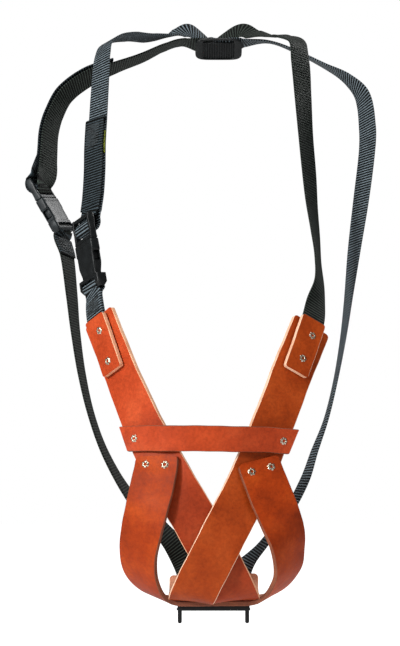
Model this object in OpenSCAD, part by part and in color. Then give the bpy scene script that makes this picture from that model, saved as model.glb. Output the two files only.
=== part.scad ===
// Leather basket harness on crossed webbing braces, with a pronged steel base bracket.
// Millimetres. +Z is up, +Y is toward the wearer's back, and the origin is the middle of
// the underside of the base bracket.

/* [Webbing] */
// Width of the webbing
web_w = 25; // [22:0.5:25]
// Thickness of one layer of webbing
web_t = 1.6; // [1.2:0.1:1.6]
// Distance from a brace to its sewn return leg, centre to centre
return_gap = 4.6; // [4:0.1:4.6]

/* [Leather] */
// Width of the chest straps and the basket sling
strap_w = 42; // [36:0.5:42]
// Thickness of the leather
leather_t = 4.5; // [3.5:0.1:4.5]
// Width of the cross band
band_w = 24; // [20:0.5:26]
// Length of a shoulder tab
tab_len = 58; // [52:1:62]
// Width of a shoulder tab
tab_w = 27; // [24:0.5:28]
// Corner radius of a shoulder tab
tab_r = 2; // [1:0.5:4]

/* [Rivets] */
// Diameter of a rivet's rosette
rosette_d = 8; // [7:0.5:9]
// Diameter of a rivet's tube
shank_d = 4; // [3:0.5:4.5]
// Diameter of the hollow in a rivet's tube
hollow_d = 2.4; // [1.5:0.1:2.6]
// Height of a rosette above the leather
rosette_h = 0.9; // [0.6:0.1:1.2]

/* [Buckles] */
// Width of the side-release buckles
buckle_w = 33; // [32:0.5:35]
// Thickness of a receiver
receiver_t = 10.5; // [10:0.1:11]
// Length of the front receiver
front_receiver_len = 48; // [46:1:52]
// Length of the side receiver
side_receiver_len = 38; // [38:1:44]
// Length of the front ladder lock
front_lock_len = 27; // [25:1:29]
// Length of the side ladder lock
side_lock_len = 24; // [23:1:26]
// Thickness of a ladder lock
lock_t = 7; // [6:0.5:7]

/* [Back slider] */
// Width of the slider, along the braces
slider_w = 49; // [47:1:50]
// Height of the slider, across the braces
slider_h = 29; // [28:0.5:31]
// Depth of the slider
slider_d = 9; // [8.6:0.1:10]

/* [Base bracket] */
// Width of the bracket
bracket_w = 68; // [64:1:72]
// Depth of the bracket, front to back
bracket_d = 30; // [24:1:34]
// Thickness of the bracket's plate
plate_t = 4.8; // [4:0.1:4.8]
// Length of a prong below the plate
prong_len = 14; // [10:1:18]
// Diameter of a prong
prong_d = 4; // [3:0.5:5]

/* [Hidden] */

// Spacing of the cross sections swept along the webbing and along the leather
web_step = 6;
leather_step = 7;
// Gap left between layers that only touch
lay = 0.15;
round_fn = 40;

// Routes. Each station is a point on the middle of the strap and the direction of its width.
// Brace over the left shoulder: front buckle, shoulder, slider, right side, basket rear.
left_brace_route = [
    [[-119, 74, 378], [0.74, -0.61, 0.28]],
    [[-117, 83, 397], [0.75, -0.61, 0.24]],
    [[-116, 92, 422], [0.75, -0.62, 0.23]],
    [[-116, 101, 448], [0.75, -0.62, 0.23]],
    [[-115, 110, 475], [0.75, -0.62, 0.22]],
    [[-114, 120, 502], [0.74, -0.65, 0.18]],
    [[-113, 128, 524], [0.70, -0.70, 0.12]],
    [[-112, 136, 542], [0.62, -0.78, 0.02]],
    [[-109, 146, 555], [0.40, -0.91, -0.04]],
    [[-99, 158, 563], [0.16, -0.98, 0.07]],
    [[-84, 173, 567], [0.03, -0.99, 0.15]],
    [[-65, 190, 568], [0.02, -0.99, 0.14]],
    [[-45, 206, 572], [0, -0.99, -0.12]],
    [[-35, 212, 576], [0, -0.88, -0.48]],
    [[-24, 216, 579], [0, -0.75, -0.66]],
    [[-12, 219, 575], [0, -0.92, -0.39]],
    [[-2, 220, 570], [0, -1, 0]],
    [[7, 218, 564], [0, -0.90, 0.44]],
    [[16, 216, 562], [0, -0.76, 0.65]],
    [[25, 218, 564], [0, -0.85, 0.53]],
    [[34, 219, 567], [0, -0.98, 0.20]],
    [[58, 211, 567], [-0.03, -1, -0.05]],
    [[82, 203, 558], [-0.03, -1, -0.03]],
    [[119, 192, 538], [0.07, -1, 0.02]],
    [[141, 182, 523], [0.22, -0.96, 0.18]],
    [[155, 172, 504], [0.50, -0.84, 0.16]],
    [[159, 160, 471], [0.59, -0.80, 0.06]],
    [[158, 152, 448], [0.59, -0.81, 0.06]],
    [[151, 137, 398], [0.57, -0.82, 0.07]],
    [[143, 122, 347], [0.44, -0.89, 0.09]],
    [[136, 108, 297], [0.25, -0.96, 0.14]],
    [[130, 98, 257], [0.15, -0.98, 0.14]],
    [[122, 88, 216], [0.09, -0.98, 0.14]],
    [[112, 80, 177], [0.10, -0.99, 0.10]],
    [[100, 74, 145], [0.16, -0.98, -0.02]],
    [[90, 68, 117], [0.24, -0.96, -0.06]],
    [[73, 62, 86], [0.23, -0.97, -0.10]],
    [[48, 57, 54], [0.25, -0.97, -0.08]],
    [[34, 54, 39], [0.50, -0.85, -0.15]],
    [[24, 48.5, 28], [0.98, -0.10, -0.15]],
    [[22.5, 43.2, 18], [1, 0, 0]]
];
// Brace over the right shoulder: right tab, shoulder, slider, left side, side buckle.
right_brace_route = [
    [[84, 8, 236], [0.85, 0.37, -0.37]],
    [[91, 21, 257], [0.85, 0.37, -0.37]],
    [[97, 35, 276], [0.84, 0.41, -0.36]],
    [[100, 45, 290], [0.74, 0.61, -0.28]],
    [[104, 56, 310], [0.40, 0.87, -0.29]],
    [[103, 67, 334], [0.27, 0.93, -0.24]],
    [[101, 78, 360], [0.38, 0.88, -0.28]],
    [[98, 89, 390], [0.50, 0.82, -0.26]],
    [[96, 99, 421], [0.59, 0.79, -0.18]],
    [[93, 112, 463], [0.62, 0.78, -0.09]],
    [[91, 124, 501], [0.68, 0.73, 0.06]],
    [[89, 136, 537], [0.71, 0.69, 0.14]],
    [[86, 147, 558], [0.50, 0.83, 0.24]],
    [[72, 168, 567], [0.08, 0.98, 0.18]],
    [[57, 190, 570], [0.03, 0.99, 0.12]],
    [[43, 207, 574], [0.02, 0.90, 0.42]],
    [[30, 216, 579], [0, 0.75, 0.66]],
    [[15, 219, 575], [0, 0.92, 0.39]],
    [[1, 220, 569], [0, 1, -0.05]],
    [[-8, 217, 563], [0, 0.82, -0.57]],
    [[-18, 218, 565], [0, 0.92, -0.38]],
    [[-31, 217, 567], [0, 0.99, -0.15]],
    [[-50, 205, 560], [0.15, 0.98, -0.06]],
    [[-73, 194, 548], [0.18, 0.97, -0.15]],
    [[-99, 184, 537], [0.24, 0.95, -0.22]],
    [[-128, 174, 524], [0.32, 0.84, -0.44]],
    [[-150, 164, 506], [0.46, 0.83, -0.30]],
    [[-160, 154, 486], [0.51, 0.85, -0.10]],
    [[-165, 144, 466], [0.55, 0.83, 0.02]],
    [[-166, 135, 443], [0.59, 0.80, -0.05]],
    [[-167, 123, 417], [0.67, 0.74, -0.08]]
];
// Lower left side web: side buckle to the rear of the basket.
side_web_route = [
    [[-151, 105, 356], [0.54, 0.84, -0.04]],
    [[-145, 95, 337], [0.46, 0.89, -0.05]],
    [[-140, 85, 300], [0.36, 0.93, 0.02]],
    [[-136, 78, 265], [0.28, 0.96, -0.02]],
    [[-129, 70, 221], [0.21, 0.97, 0]],
    [[-119, 64, 180], [0.15, 0.98, 0.06]],
    [[-105, 60, 143], [0.14, 0.98, 0.14]],
    [[-83, 57, 105], [0.17, 0.95, 0.26]],
    [[-60, 55, 80], [0.34, 0.85, 0.39]],
    [[-42, 54, 60], [0.56, 0.72, 0.40]],
    [[-29, 53, 41], [0.80, 0.40, 0.45]],
    [[-23, 48.5, 28], [0.97, 0.08, 0.18]],
    [[-21.5, 43.2, 17.6], [1, 0, 0]]
];
left_chest_route = [
    [[-109.5, 29, 277], [0.70, -0.68, 0.22]],
    [[-99, 17.5, 251.5], [0.70, -0.68, 0.22]],
    [[-87, 4, 222], [0.71, -0.68, 0.18]],
    [[-77, -7, 199], [0.77, -0.62, 0.16]],
    [[-67, -17, 176], [0.83, -0.53, 0.16]],
    [[-54, -28, 151], [0.90, -0.39, 0.18]],
    [[-38, -39, 123], [0.96, -0.20, 0.20]],
    [[-22, -45, 96], [0.98, -0.06, 0.20]],
    [[-4, -47, 64], [0.98, 0, 0.20]],
    [[11, -43, 36], [0.98, 0, 0.20]],
    [[18, -37, 22], [0.97, -0.05, 0.22]],
    [[21.5, -28, 14.5], [0.98, 0, 0.14]],
    [[22.5, -16, 12.3], [1, 0, 0]],
    [[22.5, 0, 12.2], [1, 0, 0]],
    [[22.5, 20, 12.5], [1, 0, 0]],
    [[22.5, 33, 15], [1, 0, 0]],
    [[22.5, 41, 21], [1, 0, 0]],
    [[22.5, 43.5, 28], [1, 0, 0]]
];
right_chest_route = [
    [[94.5, 31, 269], [0.85, 0.37, -0.37]],
    [[84, 18, 245], [0.85, 0.37, -0.37]],
    [[72, 4, 217], [0.85, 0.36, -0.38]],
    [[59, -9, 184], [0.84, 0.35, -0.41]],
    [[45, -23, 150], [0.86, 0.28, -0.42]],
    [[32, -37, 120], [0.88, 0.22, -0.42]],
    [[18, -49.5, 93], [0.90, 0.08, -0.41]],
    [[2, -53, 62], [0.90, 0.02, -0.42]],
    [[-11, -50, 36], [0.91, 0, -0.40]],
    [[-17.5, -43, 22], [0.94, 0.04, -0.33]],
    [[-21, -31, 14], [0.98, 0, -0.16]],
    [[-21.5, -17, 12.3], [1, 0, 0]],
    [[-21.5, 0, 12.2], [1, 0, 0]],
    [[-21.5, 20, 12.5], [1, 0, 0]],
    [[-21.5, 33, 15], [1, 0, 0]],
    [[-21.5, 41, 20], [1, 0, 0]],
    [[-21.5, 43.5, 26], [1, 0, 0]]
];
sling_route = [
    [[-53, -34.5, 147], [0.93, -0.36, 0]],
    [[-53.5, -37.5, 139], [0.94, -0.33, -0.06]],
    [[-55, -41, 130], [0.95, -0.30, -0.09]],
    [[-58, -44, 116], [0.95, -0.28, -0.12]],
    [[-62, -46, 100], [0.93, -0.35, -0.11]],
    [[-67, -44, 79], [0.88, -0.46, -0.11]],
    [[-70, -38, 60], [0.81, -0.58, -0.08]],
    [[-70, -30, 44], [0.74, -0.68, 0]],
    [[-67, -21, 31], [0.63, -0.78, 0.03]],
    [[-59, -11, 18.5], [0.44, -0.90, 0.03]],
    [[-47, -4, 10.5], [0.20, -0.98, 0.02]],
    [[-36, -0.5, 7.8], [0.04, -1, 0]],
    [[-26, 0, 7.3], [0, -1, 0]],
    [[0, 0, 7.3], [0, -1, 0]],
    [[26, 0, 7.3], [0, -1, 0]],
    [[36, -0.5, 7.8], [-0.04, -1, 0]],
    [[47, -3, 10.5], [-0.20, -0.98, 0]],
    [[58, -10, 18], [-0.38, -0.92, -0.04]],
    [[66, -19, 29], [-0.48, -0.87, -0.06]],
    [[70, -29, 41], [-0.58, -0.81, -0.11]],
    [[70, -38, 56], [-0.67, -0.72, -0.20]],
    [[68, -45, 72], [-0.77, -0.58, -0.24]],
    [[62, -48, 89], [-0.86, -0.42, -0.28]],
    [[55, -45, 106], [-0.92, -0.32, -0.25]],
    [[48, -40, 124], [-0.92, -0.32, -0.20]],
    [[41, -33, 143], [-0.92, -0.33, -0.16]]
];
band_route = [
    [[-84, -16.5, 162], [0.33, 0, 0.94]],
    [[-73.5, -22.7, 163], [0.14, 0, 0.99]],
    [[-60, -30.5, 163.5], [0.05, 0, 1]],
    [[-46, -38.5, 164], [0, 0, 1]],
    [[-22, -44.5, 164.5], [0, 0, 1]],
    [[0, -45, 164], [0, 0, 1]],
    [[20, -41, 163.5], [0, 0, 1]],
    [[35, -34.5, 163], [0, 0, 1]],
    [[50, -27.5, 162], [-0.05, 0, 1]],
    [[65, -21, 160.5], [-0.14, 0, 0.99]],
    [[75, -17, 159.5], [-0.38, 0, 0.92]]
];

// Buckle frames: the middle of the receiver's mouth, the way from the ladder lock to the
// receiver's head, and the direction of the buckle's width.
front_buckle = [[-124, 62, 350], [0.171, -0.251, -0.953], [0.52, -0.80, 0.30]];
side_buckle = [[-167, 115, 395], [0.49, -0.20, -0.85], [0.42, 0.90, 0.03]];
// Back slider: its middle, the way along the braces, and the direction of its height.
slider_frame = [[6.7, 216, 562], [1, 0, 0], [0, -0.75, 0.66]];

function unit(v) = v / norm(v);
function turned(w, t) = unit(w - (w * t) * t);
function blend_pos(a, b, ma, mb, t) =
    (2*t*t*t - 3*t*t + 1) * a + (t*t*t - 2*t*t + t) * ma + (3*t*t - 2*t*t*t) * b + (t*t*t - t*t) * mb;
function blend_way(a, b, ma, mb, t) =
    6 * (t*t - t) * a + (3*t*t - 4*t + 1) * ma + 6 * (t - t*t) * b + (3*t*t - 2*t) * mb;
function station(R, i) =
    i < 0 ? 2 * R[0][0] - R[1][0] :
    i >= len(R) ? 2 * R[len(R) - 1][0] - R[len(R) - 2][0] : R[i][0];
function width_at(R, i) = unit(R[max(0, min(len(R) - 1, i))][1]);

// Frame at u along a route: point, way along, width direction and outward direction
function frame_at(R, u) =
    let(i = min(floor(u), len(R) - 2), t = u - i,
        p0 = station(R, i - 1), p1 = station(R, i), p2 = station(R, i + 1), p3 = station(R, i + 2),
        d0 = norm(p1 - p0), d1 = norm(p2 - p1), d2 = norm(p3 - p2),
        m1 = (p2 - p0) / (d0 + d1) * d1, m2 = (p3 - p1) / (d1 + d2) * d1,
        w0 = width_at(R, i - 1), w1 = width_at(R, i), w2 = width_at(R, i + 1), w3 = width_at(R, i + 2),
        n1 = (w2 - w0) / (d0 + d1) * d1, n2 = (w3 - w1) / (d1 + d2) * d1,
        way = unit(blend_way(p1, p2, m1, m2, t)),
        wide = turned(blend_pos(w1, w2, n1, n2, t), way))
    [blend_pos(p1, p2, m1, m2, t), way, wide, cross(way, wide)];

// Stops along a route from u0 to u1, no further apart than step
function stops(R, u0, u1, step) =
    [for (i = [floor(u0) : ceil(u1) - 1])
        let(k = max(1, ceil(norm(R[i + 1][0] - R[i][0]) / step)))
        for (j = [0 : k - 1]) let(u = i + j / k) if (u >= u0 && u < u1) u, u1];

// A flat strap swept along part of a route: c is the shift across, h the shift outward
module ribbon(R, wide, thick, step, u0, u1, c = 0, h = 0) {
    us = stops(R, u0, u1, step);
    n = len(us);
    corners = [[-1, -1], [1, -1], [1, 1], [-1, 1]];
    pts = [for (u = us) let(f = frame_at(R, u)) for (k = corners)
        f[0] + (c + k[0] * wide / 2) * f[2] + (h + k[1] * thick / 2) * f[3]];
    sides = [for (i = [0 : n - 2], k = [0 : 3]) let(a = 4*i + k, b = 4*i + (k + 1) % 4)
        each [[a, a + 4, b], [b, a + 4, b + 4]]];
    ends = [[0, 1, 2], [0, 2, 3], [4*n - 4, 4*n - 2, 4*n - 3], [4*n - 4, 4*n - 1, 4*n - 2]];
    polyhedron(points = pts, faces = concat(sides, ends), convexity = 6);
}

// Puts children in a frame given as point, X direction, Y direction and Z direction
module in_frame(f) {
    p = f[0];
    x = unit(f[1]);
    y = turned(f[2], x);
    z = cross(x, y);
    multmatrix([[x[0], y[0], z[0], p[0]], [x[1], y[1], z[1], p[1]],
                [x[2], y[2], z[2], p[2]], [0, 0, 0, 1]])
        children();
}
module on_route(R, u, c = 0, h = 0) {
    f = frame_at(R, u);
    in_frame([f[0] + c * f[2] + h * f[3], f[1], f[2]]) children();
}

// A tubular rivet through a stack: Z is outward, 0 is the stack's outer face
module rivet(stack) {
    difference() {
        union() {
            cylinder(d = rosette_d, h = rosette_h, $fn = round_fn);
            translate([0, 0, -stack])
                cylinder(d = shank_d, h = stack, $fn = round_fn);
            translate([0, 0, -stack - rosette_h])
                cylinder(d = rosette_d, h = rosette_h, $fn = round_fn);
        }
        translate([0, 0, -stack + 1])
            cylinder(d = hollow_d, h = stack + rosette_h, $fn = round_fn);
    }
}
module rounded_plate(len_x, len_y, h, r) {
    translate([0, 0, -h / 2])
        linear_extrude(h)
            union() {
                square([len_x - 2 * r, len_y], center = true);
                square([len_x, len_y - 2 * r], center = true);
                for (sx = [-1, 1], sy = [-1, 1])
                    translate([sx * (len_x / 2 - r), sy * (len_y / 2 - r)])
                        circle(r, $fn = round_fn);
            }
}
module block(x0, x1, y0, y1, z0, z1) {
    translate([x0, y0, z0])
        cube([x1 - x0, y1 - y0, z1 - z0]);
}

// Leather
tab_layer = leather_t + web_t + 2 * lay;
left_tab_c = -1.5;
right_tab_c = -1;
tab_turn = 3;

module left_chest_strap() {
    color("chocolate")
        ribbon(left_chest_route, strap_w, leather_t, leather_step, 0, len(left_chest_route) - 1);
}
module right_chest_strap() {
    color("saddlebrown")
        ribbon(right_chest_route, strap_w, leather_t, leather_step, 0, len(right_chest_route) - 1);
}
module cross_band() {
    color("sienna")
        ribbon(band_route, band_w, leather_t, leather_step, 0, len(band_route) - 1);
}
module basket_sling() {
    color("chocolate")
        ribbon(sling_route, strap_w, leather_t, leather_step, 0, len(sling_route) - 1);
}
module shoulder_tab(R, u, c, turn) {
    on_route(R, u, c, tab_layer)
        rotate([0, 0, turn])
            rounded_plate(tab_len, tab_w, leather_t, tab_r);
}
module left_shoulder_tab() {
    color("sienna") shoulder_tab(left_chest_route, 1, left_tab_c, -tab_turn);
}
module right_shoulder_tab() {
    color("sienna") shoulder_tab(right_chest_route, 0.9, right_tab_c, tab_turn);
}

// Rivets
tab_stack = 2 * leather_t + web_t + 2 * lay;
two_stack = 2 * leather_t + lay;
module tab_rivets(R, spots) {
    color("silver")
        for (s = spots)
            on_route(R, s[0], s[1], tab_layer + leather_t / 2)
                rivet(tab_stack);
}
module left_tab_rivets() {
    tab_rivets(left_chest_route, [[0.53, 1], [1.51, -3]]);
}
module right_tab_rivets() {
    tab_rivets(right_chest_route, [[0.46, 1.6], [1.31, 1.2]]);
}
module band_rivets() {
    color("silver")
        for (u = [1, 9])
            on_route(band_route, u, 0, leather_t / 2)
                rivet(two_stack);
}
module sling_rivets() {
    color("silver") {
        for (c = [-10, 9])
            on_route(sling_route, 1, c, leather_t / 2)
                rivet(two_stack);
        for (c = [-10, 10])
            on_route(sling_route, 24.55, c, leather_t / 2)
                rivet(two_stack);
    }
}
module rear_rivets() {
    color("silver")
        for (R = [left_chest_route, right_chest_route])
            on_route(R, len(R) - 1.5, 0, leather_t / 2 + lay + web_t)
                rivet(leather_t + lay + web_t);
}
base_rivet_x = 20;
sling_top = 7.3 + leather_t / 2;
module base_rivets() {
    color("silver")
        for (sx = [-1, 1])
            translate([sx * base_rivet_x, 0, 0])
                difference() {
                    union() {
                        translate([0, 0, 0.2])
                            cylinder(d = shank_d, h = sling_top - 0.2, $fn = round_fn);
                        translate([0, 0, 0.2])
                            cylinder(d = rosette_d, h = 1.2, $fn = round_fn);
                    }
                    translate([0, 0, -1])
                        cylinder(d = hollow_d, h = 8, $fn = round_fn);
                }
}

// Webbing
return_top = 3.92;
module left_brace() {
    color("dimgray")
        ribbon(left_brace_route, web_w, web_t, web_step, 0, len(left_brace_route) - 1);
}
module right_brace() {
    color("dimgray")
        ribbon(right_brace_route, web_w, web_t, web_step, 0, len(right_brace_route) - 1);
}
fold_t = return_gap + web_t / 2 - web_t / 2 - lay;
module front_return_leg() {
    color("black") {
        ribbon(left_brace_route, web_w, web_t, web_step, 0.4, 3, 0, -return_gap);
        ribbon(left_brace_route, web_w, fold_t, web_step, 3, return_top, 0, -web_t / 2 - lay - fold_t / 2);
    }
}
module side_return_leg() {
    color("black") {
        ribbon(right_brace_route, web_w, web_t, web_step, 24.7, 29.6, 0, -return_gap);
        ribbon(right_brace_route, web_w, fold_t, web_step, 24.1, 24.7, 0, -web_t / 2 - lay - fold_t / 2);
    }
}
module side_web() {
    color("dimgray")
        ribbon(side_web_route, web_w, web_t, web_step, 0, len(side_web_route) - 1);
}
module side_web_fold() {
    color("black")
        ribbon(side_web_route, web_w, 2 * web_t, web_step, 0, 0.9, 0, 1.5 * web_t + lay);
}
module yellow_tape() {
    color("yellowgreen")
        ribbon(left_brace_route, 1.2, 0.4, web_step, 2.6, 3.45, web_w / 2 + 0.7, -web_t - 0.6);
}
web_loop_route = [
    [[-117, 49, 305], [0.55, -0.72, 0.40]],
    [[-116.5, 43, 297], [0.58, -0.68, 0.44]],
    [[-115.5, 36, 287], [0.61, -0.62, 0.49]],
    [[-113.5, 29.5, 276], [0.62, -0.59, 0.52]],
    [[-110, 24.8, 265.5], [0.62, -0.585, 0.52]],
    [[-101.3, 14.8, 243.6], [0.62, -0.585, 0.52]]
];
module front_web_loop() {
    color("dimgray")
        ribbon(web_loop_route, web_w, web_t, web_step, 0, len(web_loop_route) - 1);
}

// Back slider: a flat frame and a ribbed plate in front of the braces, and a bar behind them
slot_half = web_w / 2 + 0.4;
brace_layers = 2.2;
side_bar_w = 8;
middle_bar_w = 7;
module back_slider() {
    half_w = slider_w / 2;
    half_h = slider_h / 2;
    half_d = slider_d / 2;
    half_bar = middle_bar_w / 2;
    color("black")
        in_frame(slider_frame)
            union() {
                for (s = [-1, 1]) {
                    y0 = s > 0 ? slot_half : -half_h;
                    block(-half_w, half_w, y0, y0 + half_h - slot_half, brace_layers, half_d);
                }
                block(-half_bar, half_bar, -half_h, -slot_half, -half_d, half_d);
                for (s = [-1, 1])
                    block(s > 0 ? half_w - side_bar_w : -half_w, s > 0 ? half_w : side_bar_w - half_w,
                          -half_h, half_h, brace_layers, half_d);
                block(-half_w + 1, half_w - 1, -half_h + 1, 0, brace_layers, half_d - 0.8);
                block(-half_bar, half_bar, -half_h, 6, -half_d, -brace_layers);
            }
}

// Side-release buckles. Local X runs from the lock to the receiver's head, Y is the width.
mouth_w = 27;
mouth_t = 7;
mouth_len = 26;
window_x = 13;
window_len = 9;
head_bar = 4;
head_flare = 2;
head_slot = 4.5;
arm_x = 1;
arm_y = 9;
arm_len = 21;
arm_t = 4.4;
arm_w = 3;
barb_w = 1.2;
shoulder_t = 9;
module receiver(frame, length, flare) {
    half = buckle_w / 2;
    thick = receiver_t / 2;
    in_frame(frame)
        difference() {
            union() {
                block(0, length - 13, -half, half, -thick, thick);
                block(length - 14, length, -half - flare, half + flare, -thick + 2, thick - 2);
            }
            block(-1, mouth_len, -mouth_w / 2, mouth_w / 2, -mouth_t / 2, mouth_t / 2);
            for (s = [-1, 1])
                block(window_x, window_x + window_len, s > 0 ? half - 4 : -half - 1, s > 0 ? half + 1 : 4 - half,
                      -mouth_t / 2, mouth_t / 2);
            block(length - head_bar - head_slot, length - head_bar, -web_w / 2 - 1, web_w / 2 + 1,
                  -thick - 1, thick + 1);
        }
}
module insert(frame, length) {
    half = buckle_w / 2;
    bars = [for (x = [-length, -length * 0.6, -length * 0.28]) x];
    in_frame(frame)
        union() {
            for (s = [-1, 1])
                block(-length, -0.3, s > 0 ? half - 3.5 : -half, s > 0 ? half : 3.5 - half, -lock_t / 2, lock_t / 2);
            for (x = bars)
                block(x, x + 3, -half + 3, half - 3, -1.6, 1.6);
            block(-3.6, -0.3, -half, half, -shoulder_t / 2, shoulder_t / 2);
            block(-0.4, mouth_len - 3, -2.5, 2.5, -2.2, 2.2);
        }
}
// A spring arm: a round root that turns on the insert and a bar with a barb
module arm(frame, side) {
    in_frame(frame)
        union() {
            translate([arm_x + 0.6, side * arm_y, -arm_t / 2])
                cylinder(r = arm_w / 2, h = arm_t, $fn = round_fn);
            block(arm_x + 0.6, arm_x + arm_len, side * arm_y - arm_w / 2, side * arm_y + arm_w / 2,
                  -arm_t / 2, arm_t / 2);
            block(window_x + 1, window_x + window_len - 1,
                  side > 0 ? arm_y : -arm_y - arm_w / 2 - barb_w,
                  side > 0 ? arm_y + arm_w / 2 + barb_w : -arm_y,
                  -arm_t / 2, arm_t / 2);
        }
}
// The turn of webbing that the ladder lock carries
module lock_web(frame, length, side) {
    in_frame(frame)
        block(-length + 4, -6, -web_w / 2, web_w / 2,
              side > 0 ? 1.75 : -1.75 - web_t, side > 0 ? 1.75 + web_t : -1.75);
}
module front_receiver() {
    color("black") receiver(front_buckle, front_receiver_len, head_flare);
}
module front_insert() {
    color("black") insert(front_buckle, front_lock_len);
}
module front_arm_a() {
    color("black") arm(front_buckle, -1);
}
module front_arm_b() {
    color("black") arm(front_buckle, 1);
}
module front_lock_web() {
    color("dimgray") lock_web(front_buckle, front_lock_len, 1);
}
module side_receiver() {
    color("black") receiver(side_buckle, side_receiver_len, 0);
}
module side_insert() {
    color("black") insert(side_buckle, side_lock_len);
}
module side_arm_a() {
    color("black") arm(side_buckle, -1);
}
module side_arm_b() {
    color("black") arm(side_buckle, 1);
}
module side_lock_web() {
    color("dimgray") lock_web(side_buckle, side_lock_len, 1);
}

// Base bracket: a plate with a rounded prong at each side
prong_x = bracket_w / 2 - prong_d / 2;
module base_bracket() {
    color("black")
        difference() {
            union() {
                translate([0, 0, plate_t / 2])
                    rounded_plate(bracket_w, bracket_d, plate_t, 1.5);
                for (s = [-1, 1])
                    translate([s * prong_x, 0, 0]) {
                        translate([0, 0, -prong_len + prong_d / 2])
                            cylinder(d = prong_d, h = prong_len - prong_d / 2 + 1, $fn = round_fn);
                        translate([0, 0, -prong_len + prong_d / 2])
                            sphere(d = prong_d, $fn = round_fn);
                    }
            }
            for (s = [-1, 1])
                translate([s * base_rivet_x, 0, -1]) {
                    cylinder(d = shank_d, h = plate_t + 2, $fn = round_fn);
                    cylinder(d = rosette_d, h = 2.4, $fn = round_fn);
                }
        }
}

left_chest_strap();
right_chest_strap();
cross_band();
basket_sling();
left_shoulder_tab();
right_shoulder_tab();
left_tab_rivets();
right_tab_rivets();
band_rivets();
sling_rivets();
rear_rivets();
base_rivets();
left_brace();
right_brace();
front_return_leg();
side_return_leg();
side_web();
front_web_loop();
side_web_fold();
yellow_tape();
back_slider();
front_receiver();
front_insert();
front_arm_a();
front_arm_b();
front_lock_web();
side_receiver();
side_insert();
side_arm_a();
side_arm_b();
side_lock_web();
base_bracket();
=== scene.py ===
"""Leather basket harness on crossed webbing braces: leather, webbing, rivets, buckles and base bracket.

Lengths in this script are in millimetres until a mesh is made, where MM turns them into metres.
"""

import math
import random

import bmesh
import bpy
from mathutils import Matrix, Vector


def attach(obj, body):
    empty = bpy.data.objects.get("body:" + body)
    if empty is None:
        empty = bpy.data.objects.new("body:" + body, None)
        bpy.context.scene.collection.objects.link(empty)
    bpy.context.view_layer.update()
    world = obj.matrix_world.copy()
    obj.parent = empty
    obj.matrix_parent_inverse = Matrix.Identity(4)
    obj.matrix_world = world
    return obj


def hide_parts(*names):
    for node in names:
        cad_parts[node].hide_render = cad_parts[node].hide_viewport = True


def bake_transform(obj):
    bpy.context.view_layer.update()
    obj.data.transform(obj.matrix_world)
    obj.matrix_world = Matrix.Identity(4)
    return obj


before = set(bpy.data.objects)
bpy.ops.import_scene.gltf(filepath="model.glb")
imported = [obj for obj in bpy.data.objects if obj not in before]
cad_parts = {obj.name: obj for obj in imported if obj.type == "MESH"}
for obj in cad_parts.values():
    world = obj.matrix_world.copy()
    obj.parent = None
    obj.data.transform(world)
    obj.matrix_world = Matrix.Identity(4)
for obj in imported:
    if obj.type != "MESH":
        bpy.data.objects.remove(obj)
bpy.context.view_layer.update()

MM = 0.001
ROOT = "harness"

# ---------------------------------------------------------------- sizes, in millimetres
WEB_W, WEB_T = 25, 1.6
RIB_PITCH = 2.8         # one cross rib of the webbing
TWILL = 0.9             # one yarn of the twill across a rib
RIB_H = 0.42            # how far a rib stands above the groove beside it
RETURN_GAP = 4.6        # brace to its sewn return leg, centre to centre
LEATHER_T = 4.5
STRAP_W = 42
BAND_W = 24
LAY = 0.15              # air between layers that only touch
TAB_LEN, TAB_W = 58, 27
BUCKLE_W = 33
ROSETTE_R = 4
PAINTED_SHADE_FROM, PAINTED_SHADE_TO = 165, 100     # heights between which painted shade darkens the leather towards the bottom
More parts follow.
